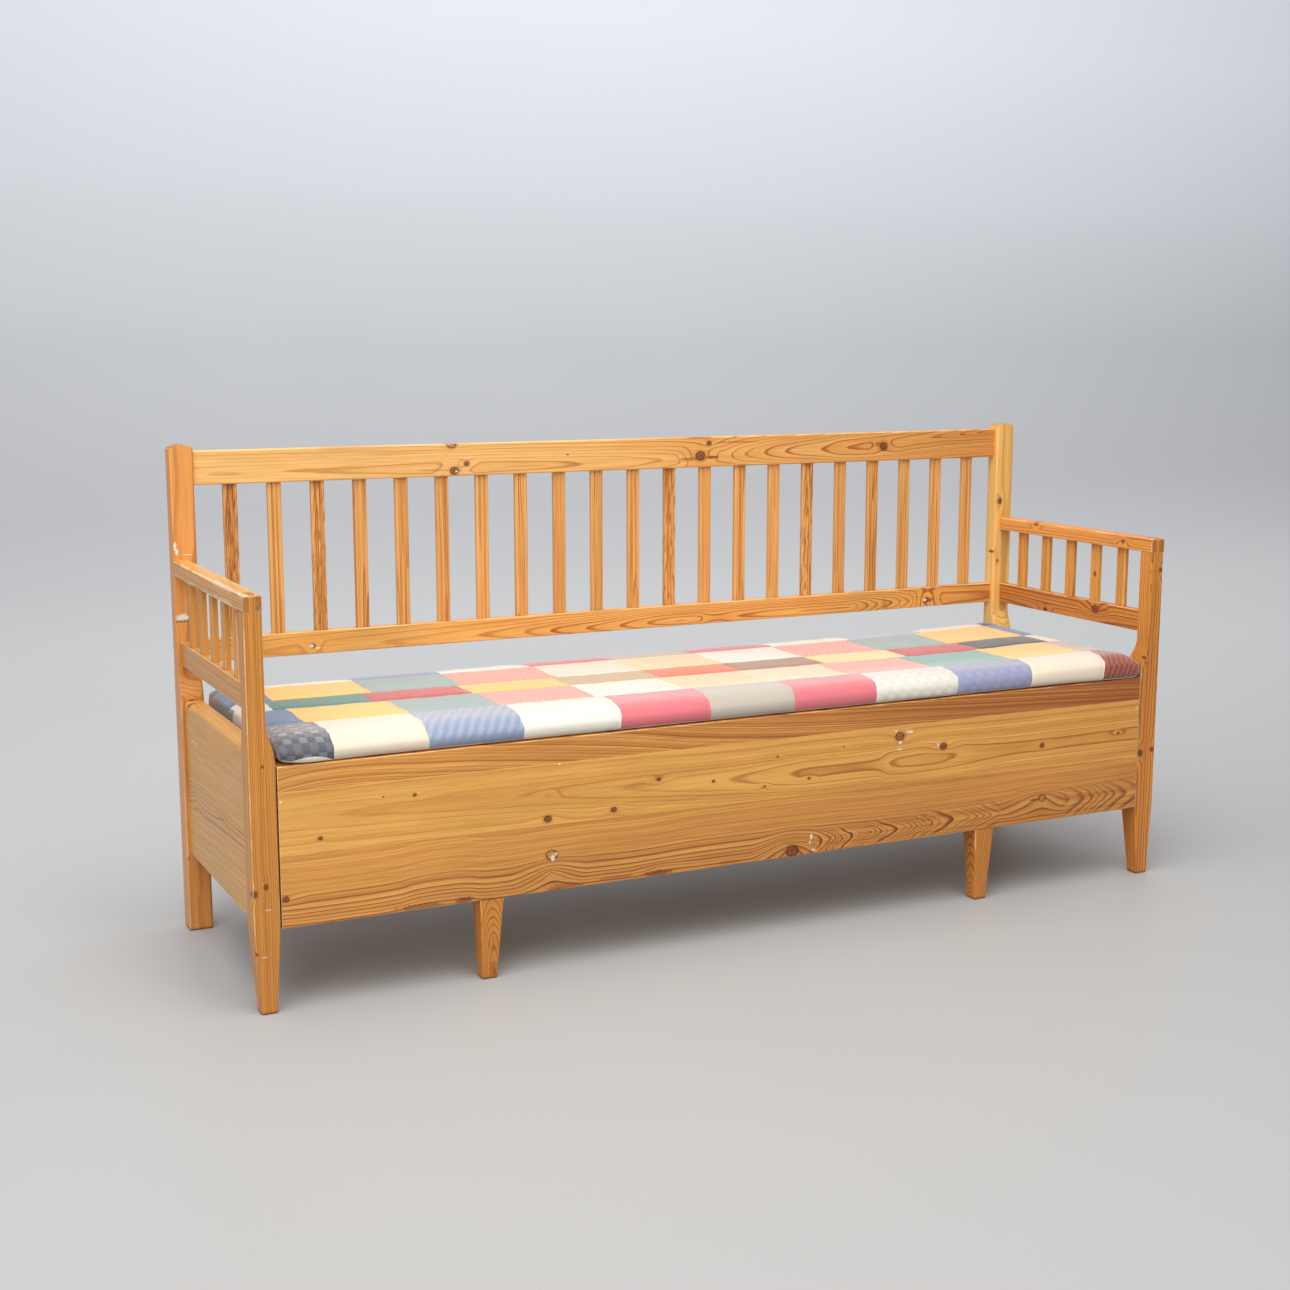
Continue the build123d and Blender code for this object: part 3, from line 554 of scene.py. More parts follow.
def makePine(name, board):
    # board says which way the grain runs, where the pith is, and what knots and marks there are
    finish = {key: board.get(key, value) for key, value in finishes[board["finish"]].items()}
    material, shader, coords = newMaterial(name)
    axes = split(coords.object)
    way = grainWays[board["grain"]]
    along, side, into = [axes[i] for i in way]
    place = join(along, side, into)
    bend, core, rim, chip = marksOn(board, place)
    pithAcross, pithDeep = [value * mm for value in board["pith"]]
    wood = SimpleNamespace(place=place, seed=board["seed"], pithAcross=pithAcross, pithDeep=pithDeep,
                           ringWidth=board["ringWidth"] * mm, contrast=finish["contrast"],
                           heart=board["heart"], flamed=0.0)
    if "pitch" in board:
        varyPieces(wood, board, along, side, into)
    followCurves(wood, board, along, side)
    rings = useGroup(growthRings, place=wood.place, pithAcross=wood.pithAcross, pithDeep=wood.pithDeep,
                     bend=bend, ringWidth=wood.ringWidth, wander=board["wander"] * mm,
                     lateStart=board["lateStart"], seed=wood.seed)
    late = rings.late
    if board["flamed"]:
        streaky = noiseAt(wood.place * (32.0, 270.0, 270.0), detail=3.0)
        late = larger(late, wood.flamed * softRamp(streaky, 0.46, 0.62, 0.0, 0.8))
    for start, end, tip, reach, pitch, lean in board["flames"]:
        mark = useGroup(flameMark, place=wood.place, start=start * mm, end=end * mm, tip=tip * mm,
                        reach=reach * mm, pitch=pitch * mm, lean=lean)
        late = mixValue(mark.mask, late, mark.late)
    low, high = board["box"]
    wear = useGroup(edgeWear, place=coords.object, low=low, high=high, seed=wood.seed,
                    width=board["wear"] * mm).mask
    colours = {key: screenColour(*value) for key, value in finish.items() if key.endswith("Wood")}
    made = useGroup(pineFinish, place=wood.place, late=late, core=core, rim=rim, heart=wood.heart, wear=wear,
                    chip=chip, seed=wood.seed, contrast=wood.contrast, ringTone=rings.ringTone,
                    band=rings.band, chipColour=screenColour(*pine["chipColour"]), **colours)
    endGrain = abs(split(coords.normal)[way[0]]) > 0.8
    colour = mixColour(endGrain * pine["endGrainShare"], made.colour,
                       tint(made.colour, screenColour(*pine["endGrain"])))
    # painted contact shadow: the lowest few millimetres of each foot are darker, as if in shade on the floor
    footShadow = ramp(axes[2], pine["dirtLow"] * mm, pine["dirtHigh"] * mm, pine["dirtTone"], 1.0)
    feedAll(shader, {"Base Color": shade(colour, footShadow), "Roughness": made.roughness,
                     "Normal": bumpFrom(made.height, pine["bump"], pine["bumpDepth"] * mm),
                     "Specular IOR Level": pine["shine"], "Coat Weight": finish["coat"],
                     "Coat Roughness": pine["coatRough"]})
    return material


# one entry per board. A knot is (centre, size, swell, reach before, reach after, reach across), a chip is
# (centre, size) and a stain (centre, size, strength). All of it is in millimetres along the grain, across the
# face and into the board, and what isn't given a depth lies at the board's face
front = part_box("panel_middle_board")[0][1] / mm
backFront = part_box("crest_rail")[0][1] / mm
boards = {
    "panel_top_board": {
        "grain": "x", "seed": 3, "pith": (790, -230), "ringWidth": 6, "wander": 5, "contrast": 1.15,
        "wear": 1.4, "strength": [(-900, 0.55), (-300, 0.7), (200, 0.9), (900, 1)],
        "earlyWood": (234, 168, 84), "heartWood": (170, 96, 44), "lateWood": (132, 64, 24),
        "lateStart": 0.6, "tone": [(-900, 0.15), (-300, 0.3), (100, 0.45), (500, 0.7), (900, 0.9)],
        "pithLine": [
            (-900, 790), (-860, 803), (-800, 807), (-650, 800), (-300, 768), (-80, 740), (100, 726),
            (400, 710), (900, 684)]},
    "panel_middle_board": {
        "grain": "x", "seed": 5, "face": front, "ringWidth": 5.2, "wander": 1, "contrast": 1, "wear": 1.2,
        "focus": (303, 30, 0.45), "tone": [(-900, 0), (0, 0.12), (900, 0.35)], "lateStart": 0.72,
        "strength": [(-900, 0.3), (-500, 0.45), (-250, 0.7), (100, 1), (900, 1)],
        "earlyWood": (234, 177, 90), "lateWood": (158, 80, 28),
        "pithLine": [
            (-900, 325), (-560, 322), (-250, 312), (-42, 303), (120, 300), (350, 299), (620, 300),
            (900, 301)],
        "pithCurve": [
            (-900, 52), (-450, 46.6), (-260, 42.7), (-42, 38.2), (80, 32.6), (110, 31.35), (235, 31.35),
            (262, 30.5), (292, 24.2), (370, 21.5), (440, 24.2), (520, 28.5), (600, 30), (900, 29.5)],
        "knots": [
            ((-825, 288), 3.5, 3, 30, 30, 14), ((-716, 346), 1.5, 3, 20, 20, 9),
            ((-661, 343), 3, 3, 30, 30, 13), ((-419, 273), 6.5, 8, 60, 60, 22),
            ((-415, 315), 0, 5, 45, 30, 12), ((-292, 275), 5, 7, 40, 40, 18),
            ((-203, 320), 3.5, 4, 35, 35, 13), ((-92, 305), 3, 2, 20, 20, 9), ((42, 337), 2, 3, 20, 20, 9),
            ((15, 284), 2, 3, 20, 20, 9), ((110, 289), 2.8, 3, 25, 25, 11), ((185, 342), 1.6, 3, 20, 20, 9),
            ((311, 349), 9, 14, 60, 45, 30, 0.85), ((412, 320), 7, 9, 50, 50, 18),
            ((650, 298), 5, -3, 45, 45, 16), ((842, 305), 3, 4, 35, 35, 9)],
        "stains": [
            ((160, 301), (85, 3), 0.2), ((-640, 328), (130, 7), 0.12), ((-250, 314), (60, 5), 0.2),
            ((560, 302), (80, 5), 0.16)],
        "chips": [
            ((334, 356), (10, 4)), ((312, 337), (5, 4)), ((302, 360), (3, 3)), ((311, 324), (6, 2)),
            ((400, 323), (3, 3)), ((-396, 369), (4, 2)), ((-889, 356), (3, 2)), ((888, 353), (3, 2))]},
    "panel_bottom_board": {
        "grain": "x", "seed": 8, "face": front, "pith": (60, -238), "ringWidth": 7.6, "wander": 5,
        "contrast": 1.5, "wear": 1.5, "focus": (146, 50, 0.16),
        "tone": [(-900, 0.25), (0, 0.4), (900, 0.55)], "lateStart": 0.6,
        "strength": [(-900, 0.85), (-600, 0.9), (-100, 1), (400, 0.9), (900, 0.9)],
        "earlyWood": (234, 170, 86), "heartWood": (192, 118, 52), "lateWood": (122, 56, 18),
        "pithLine": [
            (-900, 62), (-780, 58), (-690, 60), (-620, 66), (-560, 63), (-500, 58), (-350, 62), (-250, 60),
            (-120, 63), (100, 60), (540, 52), (900, 60)],
        "knots": [
            ((-886, 192), 5, 8, 45, 45, 20), ((-412, 207), 10, 0, 10, 10, 10, 0.12),
            ((-412, 176), 0, -22, 80, 70, 44), ((-200, 160), 0, -6, 70, 90, 20),
            ((76, 153), 12, -40, 90, 80, 56), ((655, 190), 8, -26, 110, 70, 40, 0.3)],
        "flames": [
            (112, 250, 164, 27, 11, 1.7), (235, 390, 168, 28, 16, 2.2), (370, 560, 171, 30, 23, 2.6),
            (700, 910, 178, 40, 24, 1.9)],
        "chips": [
            ((-410, 202), (5, 6)), ((-404, 208), (3, 3)), ((117, 176), (4, 6)), ((114, 165), (2, 4)),
            ((123, 150), (5, 2))],
        "stains": [
            ((-655, 148), (48, 6), 0.6), ((-575, 149), (20, 6), 0.75), ((-385, 148), (38, 7), 0.5),
            ((-205, 148), (34, 6), 0.75), ((-290, 150), (40, 4), 0.45), ((-60, 149), (30, 4), 0.4),
            ((636, 188), (12, 3), 0.8)]},
    "crest_rail": {
        "grain": "x", "seed": 31, "face": backFront, "ringWidth": 4.4, "wander": 1.2, "lateStart": 0.7,
        "strength": [(-925, 0.5), (-200, 0.7), (200, 1.15), (925, 1.35)], "earlyWood": (246, 196, 120),
        "heartWood": (220, 146, 64), "lateWood": (150, 76, 26),
        "tone": [(-925, 0.05), (-200, 0.12), (150, 0.45), (500, 0.6), (925, 0.85)],
        "pithLine": [
            (-925, 856), (-100, 849), (110, 851), (300, 860), (560, 866), (700, 878), (800, 886),
            (925, 890)],
        "pithCurve": [
            (-925, 34), (-500, 30.5), (-300, 30), (52, 35), (110, 38.2), (150, 41), (250, 35.5),
            (360, 27.9), (450, 22.9), (515, 16.2), (640, 12.5), (735, 10.8), (800, 6.9), (850, 3.5),
            (925, 1)],
        "knots": [
            ((-390, 843), 8, 7, 50, 45, 24), ((-365, 856), 5, 5, 35, 35, 14),
            ((-395, 895), 9, 6, 60, 60, 18, 0.6), ((150, 857), 10, 9, 60, 50, 26),
            ((170, 882), 5, 6, 40, 60, 14), ((600, 865), 9, 9, 40, 40, 24)],
        "stains": [
            ((122, 851), (22, 4), 0.6), ((178, 853), (18, 3.5), 0.85), ((235, 883), (60, 2.6), 0.45),
            ((-150, 868), (4, 1.6, 6), 1), ((-840, 852), (40, 4), 0.3), ((-240, 848), (60, 2), 0.3),
            ((-430, 846), (44, 2), 0.4), ((585, 870), (9, 6), 0.6)],
        "chips": [((-386, 842), (2.5, 2.5, 5))]},
    "lower_back_rail": {
        "grain": "x", "seed": 33, "face": backFront, "ringWidth": 4.2, "wander": 1.6, "lateStart": 0.62,
        "contrast": 1.2, "lateWood": (160, 78, 26), "earlyWood": (242, 184, 100),
        "heartWood": (218, 144, 62), "tone": [(-925, 0.15), (300, 0.22), (925, 0.5)],
        "strength": [(-925, 0.45), (-500, 0.6), (-250, 0.95), (925, 1.1)],
        "pithLine": [(-925, 508), (-400, 517), (-100, 515), (110, 516), (470, 516), (650, 520), (925, 522)],
        "pithCurve": [
            (-925, 40), (-700, 34), (-330, 27.7), (-245, 24.5), (-189, 21.4), (-110, 18.1), (-35, 13.9),
            (25, 8), (69, 4), (107, 1.5), (160, 8), (190, 11.5), (230, 8), (286, 5.5), (343, 2.6),
            (375, 1.8), (450, 0.3), (530, 2.1), (542, 8), (572, 13.9), (597, 18.1), (635, 21.4),
            (680, 27.7), (760, 33), (925, 36)],
        "knots": [((-682, 520), 4.5, 6, 34, 34, 20), ((722, 518), 6, 20, 44, 50, 36)],
        "chips": [
            ((-684, 520), (6, 3.5)), ((-672, 515), (4, 2.5)), ((718, 520), (5, 4)), ((727, 512), (3, 2))],
        "stains": [((612, 512), (9, 22), 0.3), ((735, 520), (9, 5), 0.6), ((-510, 505), (16, 4), 0.3)]},
    "left_front_post": {
        "grain": "z", "seed": 11, "face": front, "pith": (-868, -282), "ringWidth": 3.6, "heart": 0.45,
        "earlyWood": (228, 162, 76), "heartWood": (200, 126, 50),
        "knots": [
            ((217, -918), 4, 5, 28, 28, 14), ((207, -937), 5, 5, 28, 28, 12),
            ((105, -937), 2.5, 2, 18, 18, 9), ((418, -917), 2, 3, 24, 24, 10)],
        "chips": [((178, -916), (0.9, 7, 4)), ((99, -924), (0.8, 6, 4))]},
    "right_front_post": {
        "grain": "z", "seed": 53, "face": front, "pith": (884, -340), "ringWidth": 4.2, "contrast": 1.15,
        "tone": [(0, 0.8), (380, 0.65), (560, 0.35), (730, 0.2)], "earlyWood": (238, 164, 74),
        "heartWood": (212, 134, 54), "lateWood": (144, 70, 24),
        "knots": [
            ((630, 903), 4.5, 6, 34, 34, 14), ((634, 934), 4, 6, 34, 34, 12),
            ((257, 902), 6, 6, 34, 34, 14), ((262, 932), 4, 5, 30, 30, 12), ((455, 904), 3, 4, 26, 26, 10)],
        "stains": [((632, 918), (3, 14), 0.25)]},
    "left_back_post": {
        "grain": "z", "seed": 13, "face": 235, "pith": (-900, 480), "ringWidth": 3.4, "heart": 0.25,
        "contrast": 0.6, "earlyWood": (232, 162, 86), "heartWood": (216, 136, 64),
        "chips": [
            ((724, -936), (9, 3)), ((714, -933), (7, 3)), ((593, -927), (7, 15)), ((708, -915), (1, 10))],
        "stains": [
            ((440, -920, 223), (2.5, 8), 0.8), ((140, -938, 223), (5, 5), 0.5),
            ((586, -927), (3, 18, 6), 0.6)]},
    "right_back_post": {
        "grain": "z", "seed": 55, "face": 235, "pith": (925, 300), "ringWidth": 3.4, "heart": 0.2,
        "earlyWood": (252, 204, 118), "heartWood": (240, 176, 88), "contrast": 0.5,
        "knots": [
            ((734, 907), 6, 6, 34, 34, 16), ((599, 906), 2.4, 3, 22, 22, 9),
            ((620, 896, 246), 2.4, 3, 22, 22, 9)]},
    "left_middle_leg": {
        "grain": "z", "seed": 21, "face": front, "ringWidth": 4.2, "wander": 2, "heart": 0.45,
        "contrast": 1.2, "lateWood": (158, 77, 27), "earlyWood": (216, 147, 64),
        "pithLine": [(0, -522), (120, -525), (262, -530)],
        "pithCurve": [(0, 1), (35, 6), (80, 13), (110, 20), (262, 46)],
        "stains": [((18, -524), (18, 9), 0.4), ((62, -523), (16, 12), 0.22)]},
    "right_middle_leg": {
        "grain": "z", "seed": 22, "face": front, "ringWidth": 4, "wander": 2, "heart": 0.45,
        "contrast": 1.2, "lateWood": (150, 71, 25), "earlyWood": (210, 141, 60),
        "pithLine": [(0, 486), (50, 468), (150, 446), (262, 430)], "pithCurve": [(0, 12), (262, 16)]},
    "left_end_board": {
        "grain": "y", "seed": 19, "face": -933, "ringWidth": 8.4, "wander": 9, "heart": 0.3,
        "contrast": 0.95, "earlyWood": (226, 170, 90), "heartWood": (204, 144, 70),
        "lateWood": (132, 74, 32), "coat": 0.06, "lateStart": 0.66, "focus": (272, 26, 0.3),
        "pithLine": [(-232, 424), (232, 396)], "pithCurve": [(-232, 40), (0, 46), (232, 38)],
        "knots": [
            ((198, 436), 5, 5, 40, 40, 16), ((150, 262), 0, 9, 60, 60, 40), ((-40, 282), 0, 7, 50, 60, 22),
            ((30, 208), 0, 5, 60, 60, 26)],
        "stains": [((-175, 287), (34, 3), 0.3), ((-30, 280), (24, 3), 0.25)],
        "chips": [((150, 375), (30, 1.4, 4)), ((40, 160), (3, 2, 4))]},
    "right_end_board": {
        "grain": "y", "seed": 59, "pith": (330, 905), "ringWidth": 3.8, "wander": 9, "heart": 0.5,
        "earlyWood": (214, 154, 77), "heartWood": (190, 125, 55)},
    "left_arm_rail": {
        "grain": "y", "seed": 15, "face": -936, "pith": (655, -880), "ringWidth": 2.3, "wear": 8,
        "heart": 0.3, "earlyWood": (232, 180, 100), "heartWood": (206, 142, 70),
        "wornWood": (230, 210, 178), "chips": [((-238, 697), (8, 2, 3))],
        "knots": [((20, 684, -909), 5, 6, 40, 40, 14)]},
    "right_arm_rail": {
        "grain": "y", "seed": 57, "face": 909, "pith": (700, 868), "ringWidth": 3.4, "wear": 3,
        "heart": 0.25, "earlyWood": (240, 168, 84), "heartWood": (216, 140, 64), "lateWood": (152, 74, 26),
        "knots": [((105, 697), 6, 7, 40, 40, 16), ((-180, 684), 4, 5, 34, 34, 12)]},
    "left_lower_arm_rail": {
        "grain": "y", "seed": 17, "face": -919, "pith": (480, -885), "ringWidth": 2.2, "wear": 2.6,
        "heart": 0.45,
        "chips": [((174, 548), (9, 4)), ((11, 548), (7, 3)), ((-83, 548), (8, 3)), ((-172, 548), (6, 3))]},
    "right_lower_arm_rail": {
        "grain": "y", "seed": 58, "face": 915, "pith": (505, 890), "ringWidth": 4.6, "heart": 0.7,
        "contrast": 1.5, "earlyWood": (232, 158, 76), "heartWood": (202, 124, 50),
        "lateWood": (122, 54, 16),
        "knots": [((-95, 532), 9, 16, 60, 60, 26), ((71, 509), 4.5, 7, 40, 40, 16)],
        "stains": [((-120, 532), (22, 4), 0.35)]},
    "left_arm_slats": {
        "grain": "sideZ", "seed": 23, "pith": (16, -895), "ringWidth": 2, "heart": 0.4, "first": 0.5,
        "pitch": 82.5},
    "right_arm_slats": {
        "grain": "sideZ", "seed": 62, "face": 919, "pith": (16, 895), "ringWidth": 2.2, "heart": 0.3,
        "first": 0.5, "pitch": 82.5, "knots": [((605, -85), 4, 7, 40, 40, 16)]},
    "back_slats": {
        "grain": "z", "seed": 35, "pith": (16, 278), "ringWidth": 3, "heart": 0.3, "first": 0,
        "pitch": 82.75, "flamed": [-10, -8, 1, 5], "earlyWood": (238, 184, 108),
        "heartWood": (214, 146, 76), "lateWood": (156, 78, 30)},
}


def dress(name, **entry):
    board = {**plainBoard, **boards.get(name, {}), **entry, "box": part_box(name)}
    giveMaterial(nodes[name].data, makePine(name + "_wood", board))


for name in boards:
    dress(name)
# wood that the seat, the panel and the ends hide has no finish on it
hiddenBoards = [
    ("rear_board", "x", (200, 330)), ("front_stretcher", "x", (230, -150)), ("tie_batten", "x", (220, 260)),
    ("rear_slat_ledger", "x", (160, 270)), ("rear_lid_ledger", "x", (420, 270)),
    ("panel_ledger", "x", (210, -180)), ("lid_front_board", "flatX", (-130, 330)),
    ("lid_rear_board", "flatX", (130, 350)), ("left_runner", "y", (150, -860)),
    ("right_runner", "y", (150, 860)), ("left_cheek", "y", (300, -830)), ("right_cheek", "y", (260, 830)),
    ("left_lid_ledger", "y", (340, -860)), ("right_lid_ledger", "y", (340, 860)),
]
for index, (name, grain, pith) in enumerate(hiddenBoards):
    dress(name, grain=grain, seed=51.0 + 2 * index, finish="bare", pith=pith, ringWidth=2.6)
# several like pieces in one node: the middle of the first, and the way from one to the next
hiddenSets = [
    ("lid_cleats", "flatY", 0.0, 600.0, 350), ("panel_cleats", "z", -679.1, 452.7, -200),
    ("fixed_bed_slats", "flatY", -830.0, 150.91, 190), ("sliding_bed_slats", "flatY", -754.6, 150.91, 190),
]
for index, (name, grain, first, pitch, depth) in enumerate(hiddenSets):
    dress(name, grain=grain, seed=81.0 + 2 * index, finish="bare", pith=(40, depth), first=first, pitch=pitch)
print("wood is finished")

# metal of the hinges and screws
metals = {
    "agedBrass": {"bright": (206, 168, 96), "dull": (120, 92, 52), "rough": (0.26, 0.5),
                  "pieces": ("fixed_hinge_leaves", "lid_hinge_leaves", "hinge_pins")},
    "zincSteel": {"bright": (176, 178, 180), "dull": (108, 106, 102), "rough": (0.3, 0.55),
                  "pieces": ("leg_screws", "panel_cleat_screws", "lid_leaf_screws", "lid_cleat_screws",
                             "fixed_leaf_screws")},
}


def makeMetal(name, metal):
    material, shader, coords = newMaterial(name)
    tarnish = softRamp(noiseAt(coords.object, 90.0, 4.0, 0.6), 0.42, 0.66)
    brushed = noiseAt(coords.object * (200.0, 1500.0, 1500.0))
    colour = mixColour(tarnish, screenColour(*metal["bright"]), screenColour(*metal["dull"]))
    rough = ramp(brushed * 0.4 + tarnish * 0.6, 0.1, 0.9, *metal["rough"])
    feedAll(shader, {"Base Color": colour, "Roughness": rough, "Normal": bumpFrom(brushed, 0.25, 0.2 * mm),
                     "Metallic": 1.0})
    return material


for name, metal in metals.items():
    material = makeMetal(name, metal)
    for piece in metal["pieces"]:
        giveMaterial(nodes[piece].data, material)
print("metal is finished")


# the cushion: a foam pad in a patchwork cover with a plain lining. Lengths in millimetres
cushion = {
    "half": 893, "front": -271, "back": 229, "low": 415.4, "high": 454.5,
    "topRound": (47, 30), "backRound": (7, 6), "footRound": (10, 9), "endRound": (16, 13),
    "roundHeight": 41,  # the thickness at which the roundings are as high as they say
    "roundChange": 15,  # how much deeper the front's rounding is at the left end, and shallower at the right
    "endInset": 4.0, "endLift": 0.1, "endShrink": 0.45,
    "endStep": 4, "endSteps": 10, "middleStep": 34.0, "middleSteps": 50,
    "voxel": 7.0, "frames": 20,
    "cap": 3.5,  # the pressure moves no point further than this
    "cloth": {"quality": 5, "tension_stiffness": 12, "compression_stiffness": 12, "bending_stiffness": 1.2,
              "shrink_min": -0.006, "use_pressure": True, "uniform_pressure_force": 4.0},
    "seamDepth": 1.5, "seamWidth": 5.5, "puff": 1.6, "puffReach": 22, "ripple": 0.9, "crease": 1.0,
    "rightRise": 4.5, "rearRise": 1.5, "cornerRise": 6.0, "cornerOut": 3.5, "bulge": 5.0, "furthest": 895.0,
    # from where to where these shapes grow: heights, or millimetres from the middle
    "spans": {"top": (425, 445), "crease": (820, 885), "right": (560, 800), "rightEnd": (850, 893),
              "rear": (120, 200), "corner": (835, 890), "cornerFront": (200, 268), "bulge": (690, 850),
              "bulgeFront": (225, 262), "bulgeTop": (440, 456)},
    "lining": (236, 230, 214),
    "lens": (-838, 44, 12),  # where the lining shows in front: its middle, half length and height
    "thread": 1.1,
}
# cloth names with their colour on screen, and the pattern of those that aren't plain
cloths = {
    "yellow": (246, 194, 92), "straw": (244, 212, 142), "teal": (120, 166, 154), "paleTeal": (146, 166, 160),
    "greenTeal": (72, 124, 110), "pink": (240, 150, 130), "plainPink": (238, 160, 142), "red": (196, 68, 68),
    "rose": (214, 111, 117), "cream": (232, 214, 190), "white": (228, 222, 206),
    "checkedWhite": (228, 222, 208), "ecru": (236, 200, 150), "oat": (234, 206, 168),
    "lilac": (150, 152, 182), "stripedBlue": (138, 150, 176), "blue": (92, 122, 160),
    "lightBlue": (176, 184, 196), "grey": (186, 174, 158), "khaki": (196, 164, 116), "orange": (230, 106, 54),
    "taupe": (164, 116, 84), "navy": (52, 50, 64), "darkChecks": (104, 106, 113), "rust": (142, 58, 36),
    "slate": (70, 76, 92),
}
patterns = {"pink": "faintStripes", "ecru": "faintStripes", "oat": "faintStripes", "rust": "faintStripes",
            "stripedBlue": "stripes", "checkedWhite": "faintChecks", "lilac": "faintChecks",
            "darkChecks": "checks"}
patternCodes = {"plain": 0.0, "faintStripes": 0.25, "stripes": 0.5, "faintChecks": 0.75, "checks": 1.0}
# rows from the front: where a row's far seam lies at the middle, how much further back it lies at the right
# end (slant) and at both ends (rise), where its cross seams are, and its cloths from the left
rows = [
    {"far": -160, "slant": -22, "rise": 4, "seams": (-798, -627, -456, -267, -84, 105, 286, 478, 658, 838),
     "cloths": "darkChecks cream stripedBlue white rose grey rose checkedWhite lilac cream rust"},
    {"far": -38, "slant": -20, "rise": 6, "seams": (-812, -628, -460, -281, -104, 74, 260, 450, 635, 814),
     "cloths": "blue yellow paleTeal pink white ecru oat plainPink teal yellow grey"},
    {"far": 48, "slant": -18, "rise": 8, "seams": (-835, -649, -469, -279, -89, 91, 280, 465, 648, 828),
     "cloths": "white greenTeal red yellow khaki orange taupe straw red navy cream"},
    {"far": 173, "slant": -6, "rise": 12, "seams": (-812, -626, -450, -263, -88, 94, 281, 464, 637, 824),
     "cloths": "blue yellow paleTeal pink cream ecru white pink paleTeal yellow blue"},
    {"far": 400, "slant": 0, "rise": 0, "seams": (-798, -630, -456, -270, -85, 91, 277, 478, 656, 824),
     "cloths": "blue white lilac white rose grey rose white lightBlue cream slate"},
]
endRow = {"seams": (-45, 36, 161), "cloths": "darkChecks cream slate rust", "reach": 300}
# the front row's cross seams lean to the left
skew = {"start": -140, "low": 452, "length": 170, "shift": 26, "growth": 27}
seatHalf = 900.0  # half the length of seat that the rows are laid out on


def rowSkew(x, y, z):
    # how far the front row's cross seams have moved to the left at a point
    way = max(0.0, skew["start"] - y)
    if y < skew["start"]:
        way += max(0.0, skew["low"] - z)
    return (skew["shift"] + skew["growth"] * x / seatHalf) * way / skew["length"]


def seamDistance(x, y, z):
    # millimetres from a point of the top or front to the nearest seam
    part = x / seatHalf
    far = [row["far"] + (row["slant"] + row["rise"] * part) * part for row in rows[:-1]]
    index = sum(1 for value in far if y > value)
    flat = x + (rowSkew(x, y, z) if index == 0 else 0.0)
    return min([abs(flat - seam) for seam in rows[index]["seams"]] + [abs(y - value) for value in far])


def cushionSection(x):
    # one closed outline across the cushion, drawn in at the ends
    end = max(0.0, 1 - (cushion["half"] - abs(x)) / cushion["endRound"][0])
    drop = cushion["endRound"][1] * (1 - math.sqrt(max(0.0, 1 - end ** 2.4)))
    inset = cushion["endInset"] * end ** 3
    front, back = cushion["front"] + inset, cushion["back"] - inset
    low, high = cushion["low"] + cushion["endLift"] * drop, cushion["high"] - drop
    shrink = 1 - cushion["endShrink"] * end
    deep = cushion["topRound"][0] - cushion["roundChange"] * x / cushion["half"]
    outline = []

    def corner(y, z, toY, toZ, radii, start):
        for step in range(9):
            angle = math.radians(start + 90 * step / 8)
            outline.append((x * mm, (y + toY * radii[0] + radii[0] * math.cos(angle)) * mm,
                            (z + toZ * radii[1] + radii[1] * math.sin(angle)) * mm))

    def fitted(width, height):
        return (width * shrink, height * shrink * (high - low) / cushion["roundHeight"])
    corner(back, high, -1, -1, fitted(*cushion["backRound"]), 0)
    corner(front, high, 1, -1, fitted(deep, cushion["topRound"][1]), 90)
    corner(front, low, 1, 1, cushion["footRound"], 180)
    corner(back, low, -1, 1, cushion["footRound"], 270)
    return outline


def cushionBase():
    leftEnd = [-cushion["half"] + cushion["endStep"] * step for step in range(cushion["endSteps"] + 1)]
    middle = [leftEnd[-1] + cushion["middleStep"] * (step + 1) for step in range(cushion["middleSteps"])]
    sections = [cushionSection(x) for x in leftEnd + middle + [-x for x in reversed(leftEnd)]]
    count = len(sections[0])
    last = (len(sections) - 1) * count
    faces = []
    for base in range(0, last, count):
        for step in range(count):
            after = (step + 1) % count
            faces.append((base + step, base + after, base + count + after, base + count + step))
    faces.append(tuple(range(count))[::-1])
    faces.append(tuple(range(last, last + count)))
    mesh = bpy.data.meshes.new("cushionBase")
    mesh.from_pydata([corner for section in sections for corner in section], [], faces)
    mesh.update()
    return mesh


def settle(piece):
    # every modifier is applied to the mesh
    graph = bpy.context.evaluated_depsgraph_get()
    mesh = bpy.data.meshes.new_from_object(piece.evaluated_get(graph), depsgraph=graph)
    piece.modifiers.clear()
    piece.data = mesh


def swell(piece):
    # air pressure rounds the cover out over the foam, a little loose
    start = [vertex.co.copy() for vertex in piece.data.vertices]
    scene = bpy.context.scene
    modifier = piece.modifiers.new("cover", "CLOTH")
    for key, value in cushion["cloth"].items():
        setattr(modifier.settings, key, value)
    modifier.settings.effector_weights.gravity = 0.0
    scene.frame_start = 1
    modifier.point_cache.frame_end = cushion["frames"]
    for number in range(1, cushion["frames"] + 1):
        scene.frame_set(number)
    settle(piece)
    scene.frame_set(1)
    cap = cushion["cap"] * mm
    for vertex, first in zip(piece.data.vertices, start):
        move = vertex.co - first
        if move.length > 0:
            vertex.co = first + move * (math.tanh(move.length / cap) * cap / move.length)


def smoothStep(value, low, high):
    part = min(1.0, max(0.0, (value - low) / (high - low)))
    return part * part * (3 - 2 * part)


def noiseOf(x, y, z):
    return noise.noise(Vector((x, y, z)))


